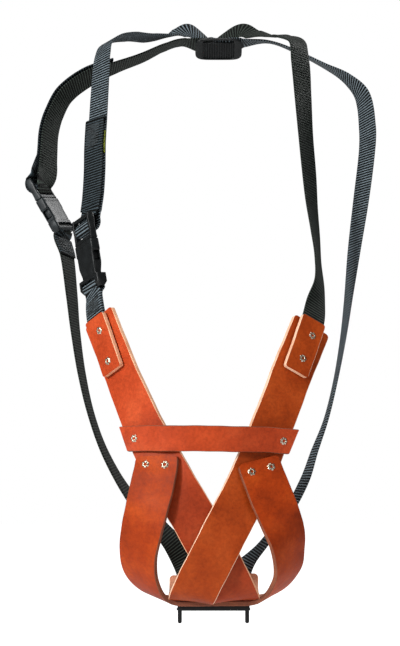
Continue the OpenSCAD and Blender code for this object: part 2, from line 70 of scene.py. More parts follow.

# ---------------------------------------------------------------- routes
# Each station is a point on the middle of the strap and the direction of its width.
LEFT_BRACE_ROUTE = [
    ((-119, 74, 378), (0.74, -0.61, 0.28)),
    ((-117, 83, 397), (0.75, -0.61, 0.24)),
    ((-116, 92, 422), (0.75, -0.62, 0.23)),
    ((-116, 101, 448), (0.75, -0.62, 0.23)),
    ((-115, 110, 475), (0.75, -0.62, 0.22)),
    ((-114, 120, 502), (0.74, -0.65, 0.18)),
    ((-113, 128, 524), (0.70, -0.70, 0.12)),
    ((-112, 136, 542), (0.62, -0.78, 0.02)),
    ((-109, 146, 555), (0.40, -0.91, -0.04)),
    ((-99, 158, 563), (0.16, -0.98, 0.07)),
    ((-84, 173, 567), (0.03, -0.99, 0.15)),
    ((-65, 190, 568), (0.02, -0.99, 0.14)),
    ((-45, 206, 572), (0, -0.99, -0.12)),
    ((-35, 212, 576), (0, -0.88, -0.48)),
    ((-24, 216, 579), (0, -0.75, -0.66)),
    ((-12, 219, 575), (0, -0.92, -0.39)),
    ((-2, 220, 570), (0, -1, 0)),
    ((7, 218, 564), (0, -0.90, 0.44)),
    ((16, 216, 562), (0, -0.76, 0.65)),
    ((25, 218, 564), (0, -0.85, 0.53)),
    ((34, 219, 567), (0, -0.98, 0.20)),
    ((58, 211, 567), (-0.03, -1, -0.05)),
    ((82, 203, 558), (-0.03, -1, -0.03)),
    ((119, 192, 538), (0.07, -1, 0.02)),
    ((141, 182, 523), (0.22, -0.96, 0.18)),
    ((155, 172, 504), (0.50, -0.84, 0.16)),
    ((159, 160, 471), (0.59, -0.80, 0.06)),
    ((158, 152, 448), (0.59, -0.81, 0.06)),
    ((151, 137, 398), (0.57, -0.82, 0.07)),
    ((143, 122, 347), (0.44, -0.89, 0.09)),
    ((136, 108, 297), (0.25, -0.96, 0.14)),
    ((130, 98, 257), (0.15, -0.98, 0.14)),
    ((122, 88, 216), (0.09, -0.98, 0.14)),
    ((112, 80, 177), (0.10, -0.99, 0.10)),
    ((100, 74, 145), (0.16, -0.98, -0.02)),
    ((90, 68, 117), (0.24, -0.96, -0.06)),
    ((73, 62, 86), (0.23, -0.97, -0.10)),
    ((48, 57, 54), (0.25, -0.97, -0.08)),
    ((34, 54, 39), (0.50, -0.85, -0.15)),
    ((24, 48.5, 28), (0.98, -0.10, -0.15)),
    ((22.5, 43.2, 18), (1, 0, 0)),
]
RIGHT_BRACE_ROUTE = [
    ((84, 8, 236), (0.85, 0.37, -0.37)),
    ((91, 21, 257), (0.85, 0.37, -0.37)),
    ((97, 35, 276), (0.84, 0.41, -0.36)),
    ((100, 45, 290), (0.74, 0.61, -0.28)),
    ((104, 56, 310), (0.40, 0.87, -0.29)),
    ((103, 67, 334), (0.27, 0.93, -0.24)),
    ((101, 78, 360), (0.38, 0.88, -0.28)),
    ((98, 89, 390), (0.50, 0.82, -0.26)),
    ((96, 99, 421), (0.59, 0.79, -0.18)),
    ((93, 112, 463), (0.62, 0.78, -0.09)),
    ((91, 124, 501), (0.68, 0.73, 0.06)),
    ((89, 136, 537), (0.71, 0.69, 0.14)),
    ((86, 147, 558), (0.50, 0.83, 0.24)),
    ((72, 168, 567), (0.08, 0.98, 0.18)),
    ((57, 190, 570), (0.03, 0.99, 0.12)),
    ((43, 207, 574), (0.02, 0.90, 0.42)),
    ((30, 216, 579), (0, 0.75, 0.66)),
    ((15, 219, 575), (0, 0.92, 0.39)),
    ((1, 220, 569), (0, 1, -0.05)),
    ((-8, 217, 563), (0, 0.82, -0.57)),
    ((-18, 218, 565), (0, 0.92, -0.38)),
    ((-31, 217, 567), (0, 0.99, -0.15)),
    ((-50, 205, 560), (0.15, 0.98, -0.06)),
    ((-73, 194, 548), (0.18, 0.97, -0.15)),
    ((-99, 184, 537), (0.24, 0.95, -0.22)),
    ((-128, 174, 524), (0.32, 0.84, -0.44)),
    ((-150, 164, 506), (0.46, 0.83, -0.30)),
    ((-160, 154, 486), (0.51, 0.85, -0.10)),
    ((-165, 144, 466), (0.55, 0.83, 0.02)),
    ((-166, 135, 443), (0.59, 0.80, -0.05)),
    ((-167, 123, 417), (0.67, 0.74, -0.08)),
]
SIDE_WEB_ROUTE = [
    ((-151, 105, 356), (0.54, 0.84, -0.04)),
    ((-145, 95, 337), (0.46, 0.89, -0.05)),
    ((-140, 85, 300), (0.36, 0.93, 0.02)),
    ((-136, 78, 265), (0.28, 0.96, -0.02)),
    ((-129, 70, 221), (0.21, 0.97, 0)),
    ((-119, 64, 180), (0.15, 0.98, 0.06)),
    ((-105, 60, 143), (0.14, 0.98, 0.14)),
    ((-83, 57, 105), (0.17, 0.95, 0.26)),
    ((-60, 55, 80), (0.34, 0.85, 0.39)),
    ((-42, 54, 60), (0.56, 0.72, 0.40)),
    ((-29, 53, 41), (0.80, 0.40, 0.45)),
    ((-23, 48.5, 28), (0.97, 0.08, 0.18)),
    ((-21.5, 43.2, 17.6), (1, 0, 0)),
]
LEFT_CHEST_ROUTE = [
    ((-109.5, 29, 277), (0.70, -0.68, 0.22)),
    ((-99, 17.5, 251.5), (0.70, -0.68, 0.22)),
    ((-87, 4, 222), (0.71, -0.68, 0.18)),
    ((-77, -7, 199), (0.77, -0.62, 0.16)),
    ((-67, -17, 176), (0.83, -0.53, 0.16)),
    ((-54, -28, 151), (0.90, -0.39, 0.18)),
    ((-38, -39, 123), (0.96, -0.20, 0.20)),
    ((-22, -45, 96), (0.98, -0.06, 0.20)),
    ((-4, -47, 64), (0.98, 0, 0.20)),
    ((11, -43, 36), (0.98, 0, 0.20)),
    ((18, -37, 22), (0.97, -0.05, 0.22)),
    ((21.5, -28, 14.5), (0.98, 0, 0.14)),
    ((22.5, -16, 12.3), (1, 0, 0)),
    ((22.5, 0, 12.2), (1, 0, 0)),
    ((22.5, 20, 12.5), (1, 0, 0)),
    ((22.5, 33, 15), (1, 0, 0)),
    ((22.5, 41, 21), (1, 0, 0)),
    ((22.5, 43.5, 28), (1, 0, 0)),
]
RIGHT_CHEST_ROUTE = [
    ((94.5, 31, 269), (0.85, 0.37, -0.37)),
    ((84, 18, 245), (0.85, 0.37, -0.37)),
    ((72, 4, 217), (0.85, 0.36, -0.38)),
    ((59, -9, 184), (0.84, 0.35, -0.41)),
    ((45, -23, 150), (0.86, 0.28, -0.42)),
    ((32, -37, 120), (0.88, 0.22, -0.42)),
    ((18, -49.5, 93), (0.90, 0.08, -0.41)),
    ((2, -53, 62), (0.90, 0.02, -0.42)),
    ((-11, -50, 36), (0.91, 0, -0.40)),
    ((-17.5, -43, 22), (0.94, 0.04, -0.33)),
    ((-21, -31, 14), (0.98, 0, -0.16)),
    ((-21.5, -17, 12.3), (1, 0, 0)),
    ((-21.5, 0, 12.2), (1, 0, 0)),
    ((-21.5, 20, 12.5), (1, 0, 0)),
    ((-21.5, 33, 15), (1, 0, 0)),
    ((-21.5, 41, 20), (1, 0, 0)),
    ((-21.5, 43.5, 26), (1, 0, 0)),
]
SLING_ROUTE = [
    ((-53, -34.5, 147), (0.93, -0.36, 0)),
    ((-53.5, -37.5, 139), (0.94, -0.33, -0.06)),
    ((-55, -41, 130), (0.95, -0.30, -0.09)),
    ((-58, -44, 116), (0.95, -0.28, -0.12)),
    ((-62, -46, 100), (0.93, -0.35, -0.11)),
    ((-67, -44, 79), (0.88, -0.46, -0.11)),
    ((-70, -38, 60), (0.81, -0.58, -0.08)),
    ((-70, -30, 44), (0.74, -0.68, 0)),
    ((-67, -21, 31), (0.63, -0.78, 0.03)),
    ((-59, -11, 18.5), (0.44, -0.90, 0.03)),
    ((-47, -4, 10.5), (0.20, -0.98, 0.02)),
    ((-36, -0.5, 7.8), (0.04, -1, 0)),
    ((-26, 0, 7.3), (0, -1, 0)),
    ((0, 0, 7.3), (0, -1, 0)),
    ((26, 0, 7.3), (0, -1, 0)),
    ((36, -0.5, 7.8), (-0.04, -1, 0)),
    ((47, -3, 10.5), (-0.20, -0.98, 0)),
    ((58, -10, 18), (-0.38, -0.92, -0.04)),
    ((66, -19, 29), (-0.48, -0.87, -0.06)),
    ((70, -29, 41), (-0.58, -0.81, -0.11)),
    ((70, -38, 56), (-0.67, -0.72, -0.20)),
    ((68, -45, 72), (-0.77, -0.58, -0.24)),
    ((62, -48, 89), (-0.86, -0.42, -0.28)),
    ((55, -45, 106), (-0.92, -0.32, -0.25)),
    ((48, -40, 124), (-0.92, -0.32, -0.20)),
    ((41, -33, 143), (-0.92, -0.33, -0.16)),
]
BAND_ROUTE = [
    ((-84, -16.5, 162), (0.33, 0, 0.94)),
    ((-73.5, -22.7, 163), (0.14, 0, 0.99)),
    ((-60, -30.5, 163.5), (0.05, 0, 1)),
    ((-46, -38.5, 164), (0, 0, 1)),
    ((-22, -44.5, 164.5), (0, 0, 1)),
    ((0, -45, 164), (0, 0, 1)),
    ((20, -41, 163.5), (0, 0, 1)),
    ((35, -34.5, 163), (0, 0, 1)),
    ((50, -27.5, 162), (-0.05, 0, 1)),
    ((65, -21, 160.5), (-0.14, 0, 0.99)),
    ((75, -17, 159.5), (-0.38, 0, 0.92)),
]
WEB_LOOP_ROUTE = [
    ((-117, 49, 305), (0.55, -0.72, 0.40)),
    ((-116.5, 43, 297), (0.58, -0.68, 0.44)),
    ((-115.5, 36, 287), (0.61, -0.62, 0.49)),
    ((-113.5, 29.5, 276), (0.62, -0.59, 0.52)),
    ((-110, 24.8, 265.5), (0.62, -0.585, 0.52)),
    ((-101.3, 14.8, 243.6), (0.62, -0.585, 0.52)),
]
FRONT_BUCKLE = ((-124, 62, 350), (0.171, -0.251, -0.953), (0.52, -0.80, 0.30))
SIDE_BUCKLE = ((-167, 115, 395), (0.49, -0.20, -0.85), (0.42, 0.90, 0.03))
SLIDER_FRAME = ((6.7, 216, 562), (1, 0, 0), (0, -0.75, 0.66))


# ---------------------------------------------------------------- routes as smooth curves
def frame_at(route, u):
    """Point, way along, width direction and outward direction at u along a route."""
    last = len(route) - 1
    i = min(int(u), last - 1)
    t = u - i

    def point(k):
        if k < 0:
            return 2 * Vector(route[0][0]) - Vector(route[1][0])
        if k > last:
            return 2 * Vector(route[last][0]) - Vector(route[last - 1][0])
        return Vector(route[k][0])

    def width(k):
        return Vector(route[max(0, min(last, k))][1]).normalized()

    p = [point(k) for k in range(i - 1, i + 3)]
    w = [width(k) for k in range(i - 1, i + 3)]
    d0, d1, d2 = [(p[k + 1] - p[k]).length for k in range(3)]

    def place(q):
        m1, m2 = (q[2] - q[0]) / (d0 + d1) * d1, (q[3] - q[1]) / (d1 + d2) * d1
        return ((2 * t**3 - 3 * t**2 + 1) * q[1] + (t**3 - 2 * t**2 + t) * m1
                + (3 * t**2 - 2 * t**3) * q[2] + (t**3 - t**2) * m2)

    m1, m2 = (p[2] - p[0]) / (d0 + d1) * d1, (p[3] - p[1]) / (d1 + d2) * d1
    way = (6 * (t * t - t) * p[1] + (3 * t * t - 4 * t + 1) * m1
           + 6 * (t - t * t) * p[2] + (3 * t * t - 2 * t) * m2).normalized()
    wide = place(w)
    wide = (wide - wide.dot(way) * way).normalized()
    return place(p), way, wide, way.cross(wide)


def paced(route, u0, u1):
    """Length run against u, so that ribs and stitches keep their real spacing."""
    fine = 16
    us = [u0 + (u1 - u0) * k / (math.ceil(u1 - u0) * fine) for k in range(math.ceil(u1 - u0) * fine + 1)]
    run, at = [0.0], frame_at(route, us[0])[0]
    for u in us[1:]:
        p = frame_at(route, u)[0]
        run.append(run[-1] + (p - at).length)
        at = p
    return us, run


def u_for(pace, s):
    us, run = pace
    if s <= 0:
        return us[0]
    for k in range(1, len(run)):
        if run[k] >= s:
            part = (s - run[k - 1]) / max(run[k] - run[k - 1], 1e-9)
            return us[k - 1] + part * (us[k] - us[k - 1])
    return us[-1]


# ---------------------------------------------------------------- meshes
def build(name, points, faces, finishes, face_finish=None, uvs=None, sharp=40):
    """A mesh from points in millimetres, smooth except at edges sharper than the angle given."""
    mesh = bpy.data.meshes.new(name)
    mesh.from_pydata([Vector(p) * MM for p in points], [], faces)
    for finish in finishes:
        mesh.materials.append(finish)
    if face_finish:
        mesh.polygons.foreach_set("material_index", face_finish)
    if uvs:
        layer = mesh.uv_layers.new(name="run")
        for loop in mesh.loops:
            layer.data[loop.index].uv = uvs[loop.vertex_index]
    bm = bmesh.new()
    bm.from_mesh(mesh)
    bmesh.ops.recalc_face_normals(bm, faces=bm.faces)
    bm.to_mesh(mesh)
    bm.free()
    mesh.polygons.foreach_set("use_smooth", [True] * len(mesh.polygons))
    mesh.set_sharp_from_angle(angle=math.radians(sharp))
    piece = bpy.data.objects.new(name, mesh)
    bpy.context.scene.collection.objects.link(piece)
    return piece


def sweep(name, route, u0, u1, outline, finishes, runs, c=0.0, h=0.0, shape=None, sharp=40):
    """A closed outline of (across, out, finish) corners carried along a route.

    runs(length) gives the distances at which a section stands; shape(s, length, across, out)
    gives how a corner moves: across, out and along the way.
    """
    pace = paced(route, u0, u1)
    length = pace[1][-1]
    spots = runs(length)
    points, uvs = [], []
    for s in spots:
        at, way, wide, out = frame_at(route, u_for(pace, s))
        for a, o, _ in outline:
            da, do, dw = shape(s, length, a, o) if shape else (0, 0, 0)
            points.append(at + (c + a + da) * wide + (h + o + do) * out + dw * way)
            uvs.append((a * MM, s * MM))
    n = len(outline)
    faces, kinds = [], []
    for i in range(len(spots) - 1):
        for k in range(n):
            j = (k + 1) % n
            faces.append((i * n + k, i * n + j, (i + 1) * n + j, (i + 1) * n + k))
            kinds.append(outline[k][2])
    edge = max(k[2] for k in outline) if len(finishes) < 3 else 1
    faces += [tuple(range(n)), tuple(range(len(points) - n, len(points)))]
    kinds += [edge, edge]
    return build(name, points, faces, finishes, kinds, uvs, sharp)


def slab_outline(wide, thick, bevel, columns, kinds=(0, 1, 2)):
    """A flat strap's section: outer face, cut edge, inner face, cut edge."""
    half, t = wide / 2, thick / 2
    across = [-half + bevel + (wide - 2 * bevel) * k / columns for k in range(columns + 1)]
    face, edge, back = kinds
    outer = [(a, t, face) for a in across[:-1]] + [(across[-1], t, edge)]
    right = [(half, t - bevel, edge), (half, bevel - t, edge)]
    inner = [(a, -t, back) for a in reversed(across[1:])] + [(across[0], -t, edge)]
    left = [(-half, bevel - t, edge), (-half, t - bevel, edge)]
    return outer + right + inner + left


def even(step, corner=0.0):
    """Sections a step apart, with more near rounded ends."""
    def runs(length):
        count = max(2, round(length / step))
        spots = {round(length * k / count, 3) for k in range(count + 1)}
        if corner:
            near = [corner * (1 - math.cos(math.radians(15 * k))) for k in range(7)]
            spots |= {round(d, 3) for d in near} | {round(length - d, 3) for d in near}
        return sorted(spots)
    return runs


def leather_shape(wide, seed, corner=3.0, slant=(0, 0)):
    """Hand-cut leather: rounded or slanted ends, and a surface that isn't quite flat."""
    rnd = random.Random(seed)
    turns = [rnd.uniform(0, 6.28) for _ in range(5)]
    half = wide / 2

    def shape(s, length, a, o):
        near = min(s, length - s)
        limit = half
        if near < corner:
            limit = half - corner + math.sqrt(max(0, corner**2 - (corner - near)**2))
        da = math.copysign(min(abs(a), limit), a) - a
        wave = 0.16 * math.sin(s / 31 + turns[0]) + 0.10 * math.sin(s / 12 + a / 8 + turns[1])
        if abs(a) > half - 1:
            da += 0.14 * math.sin(s / 9 + turns[2]) + 0.08 * math.sin(s / 3.7 + turns[3])
        dw = 0
        for at_end, lean in ((s, slant[0]), (length - s, slant[1])):
            if at_end < 16 and lean:
                dw += lean * a / half * (1 - at_end / 16)**2
        return da, wave, dw
    return shape


def leather(name, route, u0, u1, wide, finishes, seed, corner=3.0, slant=(0, 0)):
    outline = slab_outline(wide, LEATHER_T, 0.55, 10)
    return sweep(name, route, u0, u1, outline, finishes, even(3.0, corner), 0.0, 0.0,
                 leather_shape(wide, seed, corner, slant))


def rib_runs(start):
    """Four sections a rib, counted from start so that joined lengths keep one rhythm."""
    def runs(length):
        spots = [0.0]
        k = math.floor(start / RIB_PITCH)
        while True:
            for part in (0.0, 0.2, 0.5, 0.8):
                s = (k + part) * RIB_PITCH - start
                if s > length - 0.2:
                    return spots + [length]
                if s > 0.2:
                    spots.append(s)
            k += 1
    return runs


def webbing(name, route, u0, u1, finish, c=0.0, h=0.0, thick=WEB_T, start=0.0, wide=WEB_W):
    """Cross-ribbed webbing with a flat woven selvedge at each side."""
    half, t = wide / 2, thick / 2
    across = [-half + 0.55, -half + 1.6, -half / 2, 0, half / 2, half - 1.6, half - 0.55]
    outline = [(a, t, 0) for a in across] + [(half, t - 0.45, 0), (half, 0.45 - t, 0)]
    outline += [(a, -t, 0) for a in reversed(across)] + [(-half, 0.45 - t, 0), (-half, t - 0.45, 0)]

    def shape(s, length, a, o):
        beat = ((s + start) / RIB_PITCH) % 1
        crest = 1 - abs(2 * beat - 1)**2.2
        side = 1.0 if abs(a) < half - 1 else 0.35
        return 0.12 * (crest - 0.5) * (abs(a) > half - 0.7) * math.copysign(1, a), \
            math.copysign((crest - 0.6) * RIB_H * side, o), 0

    piece = sweep(name, route, u0, u1, outline, [finish], rib_runs(start), c, h, shape, 60)
    return piece


def tube(points, radius, sides=6):
    """Points and faces of a round thread along a line of points."""
    ring, faces = [], []
    for i, p in enumerate(points):
        way = (points[min(i + 1, len(points) - 1)] - points[max(i - 1, 0)]).normalized()
        side = way.orthogonal().normalized()
        if i:
            side = (before - before.dot(way) * way).normalized()
        before = side
        up = way.cross(side)
        for k in range(sides):
            turn = 2 * math.pi * k / sides
            ring.append(p + radius * (math.cos(turn) * side + math.sin(turn) * up))
    for i in range(len(points) - 1):
        for k in range(sides):
            j = (k + 1) % sides
            faces.append((i * sides + k, i * sides + j, (i + 1) * sides + j, (i + 1) * sides + k))
    faces += [tuple(range(sides)), tuple(range(len(ring) - sides, len(ring)))]
    return ring, faces


def gather(parts):
    """One list of points and faces from several."""
    points, faces = [], []
    for more_points, more_faces in parts:
        base = len(points)
        points += more_points
        faces += [tuple(base + k for k in f) for f in more_faces]
    return points, faces


def zigzag(route, pace, s0, s1, c0, c1, h, rows):
    """A bar tack: thread going to and fro across the webbing."""
    line = []
    for k in range(rows + 1):
        s = s0 + (s1 - s0) * k / rows
        at, way, wide, out = frame_at(route, u_for(pace, s))
        ends = (c0, c1) if k % 2 == 0 else (c1, c0)
        for j in range(9):
            a = ends[0] + (ends[1] - ends[0]) * j / 8
            dip = 0.16 * math.cos(j * math.pi)
            line.append(at + a * wide + (h + dip) * out + (s1 - s0) / rows * j / 9 * way)
    return tube(line, 0.28)


def placed(place):
    """A 4x4 matrix from a point, an X direction and a Y direction."""
    at, x, y = [Vector(v) for v in place]
    x = x.normalized()
    y = (y - y.dot(x) * x).normalized()
    z = x.cross(y)
    return Matrix([(x[i], y[i], z[i], at[i]) for i in range(3)] + [(0, 0, 0, 1)])


# ---------------------------------------------------------------- materials
def tint(hexcode):
    """An sRGB hex colour as the linear colour that a shader takes."""
    parts = [int(hexcode[k:k + 2], 16) / 255 for k in (1, 3, 5)]
    return [p / 12.92 if p <= 0.04045 else ((p + 0.055) / 1.055)**2.4 for p in parts] + [1.0]


def add(tree, kind, settings=None, **links):
    """Adds a shader node: settings go to its sockets or properties, links to its sockets."""
    made = tree.nodes.new("ShaderNode" + kind)
    for name, value in (settings or {}).items():
        if isinstance(name, int) or name in made.inputs:
            made.inputs[name].default_value = value
        else:
            setattr(made, name, value)
    for name, socket in links.items():
        name = name.replace("_", " ")
        spot = int(name[2:]) if name[:2] == "at" and name[2:].isdigit() else name
        tree.links.new(socket, made.inputs[spot])
    return made


def ramp(tree, fac, stops):
    """A colour ramp through (position, hex colour) stops."""
    made = add(tree, "ValToRGB", Fac=fac)
    keys = made.color_ramp.elements
    while len(keys) < len(stops):
        keys.new(0.5)
    for key, (position, colour) in zip(keys, stops):
        key.position, key.color = position, tint(colour)
    return made.outputs["Color"]


def finish_named(name):
    """An empty material of that name: its tree and its surface shader."""
    made = bpy.data.materials.new(name)
    made.use_nodes = True
    tree = made.node_tree
    return made, tree, tree.nodes["Principled BSDF"]


def mixed(tree, fac, a, b, how="MIX"):
    """Two colour sockets or colours mixed by a factor socket or number."""
    made = add(tree, "Mix", {"data_type": "RGBA", "blend_type": how})
    for spot, value in ((0, fac), (6, a), (7, b)):
        if isinstance(value, bpy.types.NodeSocket):
            tree.links.new(value, made.inputs[spot])
        else:
            made.inputs[spot].default_value = value
    return made.outputs[2]


# Vegetable-tanned cowhide, drum dyed and dressed with oil: a soft satin sheen, cloudy colour, and a
# close grain of shallow creases about half a millimetre apart. Low down its colour is darkened as painted
# shade.
def tanned_leather(name, light, middle, dark, low_shade=1.0):
    made, tree, skin = finish_named(name)
    place = add(tree, "TexCoord").outputs["Object"]
    cloud = add(tree, "TexNoise", {"Scale": 1 / (38 * MM), "Detail": 5, "Roughness": 0.6}, Vector=place)
    fleck = add(tree, "TexNoise", {"Scale": 1 / (3 * MM), "Detail": 4, "Roughness": 0.7}, Vector=place)
    body = ramp(tree, cloud.outputs["Fac"], ((0.30, dark), (0.5, middle), (0.72, light)))
    spots = ramp(tree, fleck.outputs["Fac"], ((0.35, "#8a8a8a"), (0.6, "#ffffff")))
    height = add(tree, "SeparateXYZ", Vector=place)
    # painted shade: the base colour is multiplied darker by height, most at the bottom
    shade_by_height = add(tree, "MapRange", {"From Min": PAINTED_SHADE_TO * MM, "From Max": PAINTED_SHADE_FROM * MM, "To Min": low_shade},
                  Value=height.outputs["Z"])
    whole = mixed(tree, 0.30, body, spots, "MULTIPLY")
    tree.links.new(mixed(tree, 1.0, whole, shade_by_height.outputs["Result"], "MULTIPLY"), skin.inputs["Base Color"])
    pores = add(tree, "TexVoronoi", {"Scale": 1 / (0.8 * MM), "feature": "DISTANCE_TO_EDGE"}, Vector=place)
    crease = add(tree, "TexNoise", {"Scale": 1 / (1.6 * MM), "Detail": 6, "Roughness": 0.65}, Vector=place)
    pull = add(tree, "TexNoise", {"Scale": 1 / (14 * MM), "Detail": 2}, Vector=place)
    first = add(tree, "Bump", {"Strength": 0.10, "Distance": 0.10 * MM}, Height=pores.outputs["Distance"])
    second = add(tree, "Bump", {"Strength": 0.20, "Distance": 0.25 * MM}, Height=crease.outputs["Fac"],
                 Normal=first.outputs["Normal"])
    third = add(tree, "Bump", {"Strength": 0.35, "Distance": 1.2 * MM}, Height=pull.outputs["Fac"],
                Normal=second.outputs["Normal"])
    tree.links.new(third.outputs["Normal"], skin.inputs["Normal"])
    rough = add(tree, "MapRange", {"To Min": 0.42, "To Max": 0.62}, Value=fleck.outputs["Fac"])
    tree.links.new(rough.outputs["Result"], skin.inputs["Roughness"])
    skin.inputs["IOR"].default_value = 1.48
    skin.inputs["Specular IOR Level"].default_value = 0.13
    return made


# The cut edge of that leather: packed fibre in thin layers, paler than the dyed face.
def cut_edge(name, pale, brown, fibre=0.5):
    made, tree, skin = finish_named(name)
    place = add(tree, "TexCoord").outputs["Object"]
    layers = add(tree, "TexNoise", {"Scale": 1 / (1.4 * MM), "Detail": 6, "Roughness": 0.7}, Vector=place)
    burn = add(tree, "TexNoise", {"Scale": 1 / (16 * MM), "Detail": 3}, Vector=place)
    fac = add(tree, "Math", {"operation": "ADD", "use_clamp": True})
    part = add(tree, "Math", {"operation": "MULTIPLY", 1: fibre}, at0=layers.outputs["Fac"])
    other = add(tree, "Math", {"operation": "MULTIPLY", 1: 1 - fibre}, at0=burn.outputs["Fac"])
    tree.links.new(part.outputs[0], fac.inputs[0])
    tree.links.new(other.outputs[0], fac.inputs[1])
    tree.links.new(ramp(tree, fac.outputs[0], ((0.36, brown), (0.62, pale))), skin.inputs["Base Color"])
    grit = add(tree, "Bump", {"Strength": 0.5, "Distance": 0.25 * MM}, Height=layers.outputs["Fac"])
    tree.links.new(grit.outputs["Normal"], skin.inputs["Normal"])
    skin.inputs["Roughness"].default_value = 0.72
    return made


# The flesh side: sueded fibre with no sheen.
def flesh_side(name, pale, brown):
    made, tree, skin = finish_named(name)
    place = add(tree, "TexCoord").outputs["Object"]
    nap = add(tree, "TexNoise", {"Scale": 1 / (2.2 * MM), "Detail": 8, "Roughness": 0.75}, Vector=place)
    tree.links.new(ramp(tree, nap.outputs["Fac"], ((0.34, brown), (0.66, pale))), skin.inputs["Base Color"])
    fuzz = add(tree, "Bump", {"Strength": 0.6, "Distance": 0.3 * MM}, Height=nap.outputs["Fac"])
    tree.links.new(fuzz.outputs["Normal"], skin.inputs["Normal"])
    skin.inputs["Roughness"].default_value = 0.92
    skin.inputs["Sheen Weight"].default_value = 0.15
    return made


# Polyester webbing: black yarn wound over each rib, coloured with a painted highlight in grey on the
# crests and painted shade in the grooves between them. A twill of 0.9 mm runs across the ribs.
def ribbed_web(name, highlight_tone, groove_shade_tone, sheen=0.03):
    made, tree, skin = finish_named(name)
    run = add(tree, "TexCoord").outputs["UV"]
    axes = add(tree, "SeparateXYZ", Vector=run)
    beat = add(tree, "Math", {"operation": "MULTIPLY", 1: 2 * math.pi / (RIB_PITCH * MM)},
               at0=axes.outputs["Y"])
    wave = add(tree, "Math", {"operation": "COSINE"}, at0=beat.outputs[0])
    crest = add(tree, "MapRange", {"From Min": 0.0, "From Max": -1.0}, Value=wave.outputs[0])
    lean = add(tree, "Math", {"operation": "ADD"}, at0=axes.outputs["X"], at1=axes.outputs["Y"])
    twill_beat = add(tree, "Math", {"operation": "MULTIPLY", 1: 2 * math.pi / (TWILL * MM)},
                     at0=lean.outputs[0])
    twill = add(tree, "Math", {"operation": "SINE"}, at0=twill_beat.outputs[0])
    yarn = add(tree, "MapRange", {"From Min": -1.0, "From Max": 1.0, "To Min": 0.62, "To Max": 1.0},
               Value=twill.outputs[0])
    patch = add(tree, "TexNoise", {"Scale": 1 / (9 * MM), "Detail": 4}, Vector=run)
    # painted highlight on the rib crests against the painted shade of the grooves
    crest_highlight = add(tree, "Math", {"operation": "MULTIPLY"}, at0=crest.outputs["Result"],
               at1=yarn.outputs["Result"])
    base = mixed(tree, crest_highlight.outputs[0], tint(groove_shade_tone), tint(highlight_tone))
    tone = ramp(tree, patch.outputs["Fac"], ((0.3, "#b4b4b4"), (0.65, "#ffffff")))
    tree.links.new(mixed(tree, 0.6, base, tone, "MULTIPLY"), skin.inputs["Base Color"])
    bump = add(tree, "Bump", {"Strength": 0.35, "Distance": 0.12 * MM}, Height=twill.outputs[0])
    tree.links.new(bump.outputs["Normal"], skin.inputs["Normal"])
    skin.inputs["Roughness"].default_value = 0.62
    skin.inputs["Specular IOR Level"].default_value = 0.12
    skin.inputs["Sheen Weight"].default_value = sheen
    skin.inputs["Sheen Roughness"].default_value = 0.4
    return made


# Bonded thread of the bar tacks and of the yellow marker at the webbing's edge.
def sewing_thread(name, colour, deep):
    made, tree, skin = finish_named(name)
    place = add(tree, "TexCoord").outputs["Object"]
    twist = add(tree, "TexNoise", {"Scale": 1 / (0.7 * MM), "Detail": 3}, Vector=place)
    tree.links.new(ramp(tree, twist.outputs["Fac"], ((0.35, deep), (0.6, colour))), skin.inputs["Base Color"])
    skin.inputs["Roughness"].default_value = 0.55
    return made


# Acetal, injection moulded: near-black, with a fine spark-eroded texture that breaks up the shine.
def moulded_acetal(name, colour, lift):
    made, tree, skin = finish_named(name)
    place = add(tree, "TexCoord").outputs["Object"]
    spark = add(tree, "TexNoise", {"Scale": 1 / (0.5 * MM), "Detail": 5, "Roughness": 0.6}, Vector=place)
    rub = add(tree, "TexNoise", {"Scale": 1 / (7 * MM), "Detail": 4}, Vector=place)
    tree.links.new(ramp(tree, rub.outputs["Fac"], ((0.35, colour), (0.75, lift))), skin.inputs["Base Color"])
    pits = add(tree, "Bump", {"Strength": 0.25, "Distance": 0.05 * MM}, Height=spark.outputs["Fac"])
    tree.links.new(pits.outputs["Normal"], skin.inputs["Normal"])
    rough = add(tree, "MapRange", {"To Min": 0.30, "To Max": 0.50}, Value=rub.outputs["Fac"])
    tree.links.new(rough.outputs["Result"], skin.inputs["Roughness"])
    skin.inputs["IOR"].default_value = 1.48
    skin.inputs["Specular IOR Level"].default_value = 0.25
    return made


# Nickel-plated brass tube, split and rolled: bright where rolled, warm and dull in the creases.
def nickel_plate(name, bright, warm):
    made, tree, skin = finish_named(name)
    place = add(tree, "TexCoord").outputs["Object"]
    stain = add(tree, "TexNoise", {"Scale": 1 / (1.8 * MM), "Detail": 4, "Roughness": 0.6}, Vector=place)
    plate = ramp(tree, stain.outputs["Fac"], ((0.36, warm), (0.56, bright)))
    tree.links.new(plate, skin.inputs["Base Color"])
    rough = add(tree, "MapRange", {"To Min": 0.22, "To Max": 0.45}, Value=stain.outputs["Fac"])
    tree.links.new(rough.outputs["Result"], skin.inputs["Roughness"])
    skin.inputs["Metallic"].default_value = 1.0
    return made


# Mild steel under black stove enamel, with an orange-peel skin about 2 mm across.
def black_enamel(name, colour, lift):
    made, tree, skin = finish_named(name)
    place = add(tree, "TexCoord").outputs["Object"]
    peel = add(tree, "TexNoise", {"Scale": 1 / (2 * MM), "Detail": 3}, Vector=place)
    dust = add(tree, "TexNoise", {"Scale": 1 / (11 * MM), "Detail": 6, "Roughness": 0.7}, Vector=place)
    tree.links.new(ramp(tree, dust.outputs["Fac"], ((0.4, colour), (0.75, lift))), skin.inputs["Base Color"])
    skin_bump = add(tree, "Bump", {"Strength": 0.2, "Distance": 0.1 * MM}, Height=peel.outputs["Fac"])
    tree.links.new(skin_bump.outputs["Normal"], skin.inputs["Normal"])
    skin.inputs["Roughness"].default_value = 0.42
    skin.inputs["Specular IOR Level"].default_value = 0.25
    return made


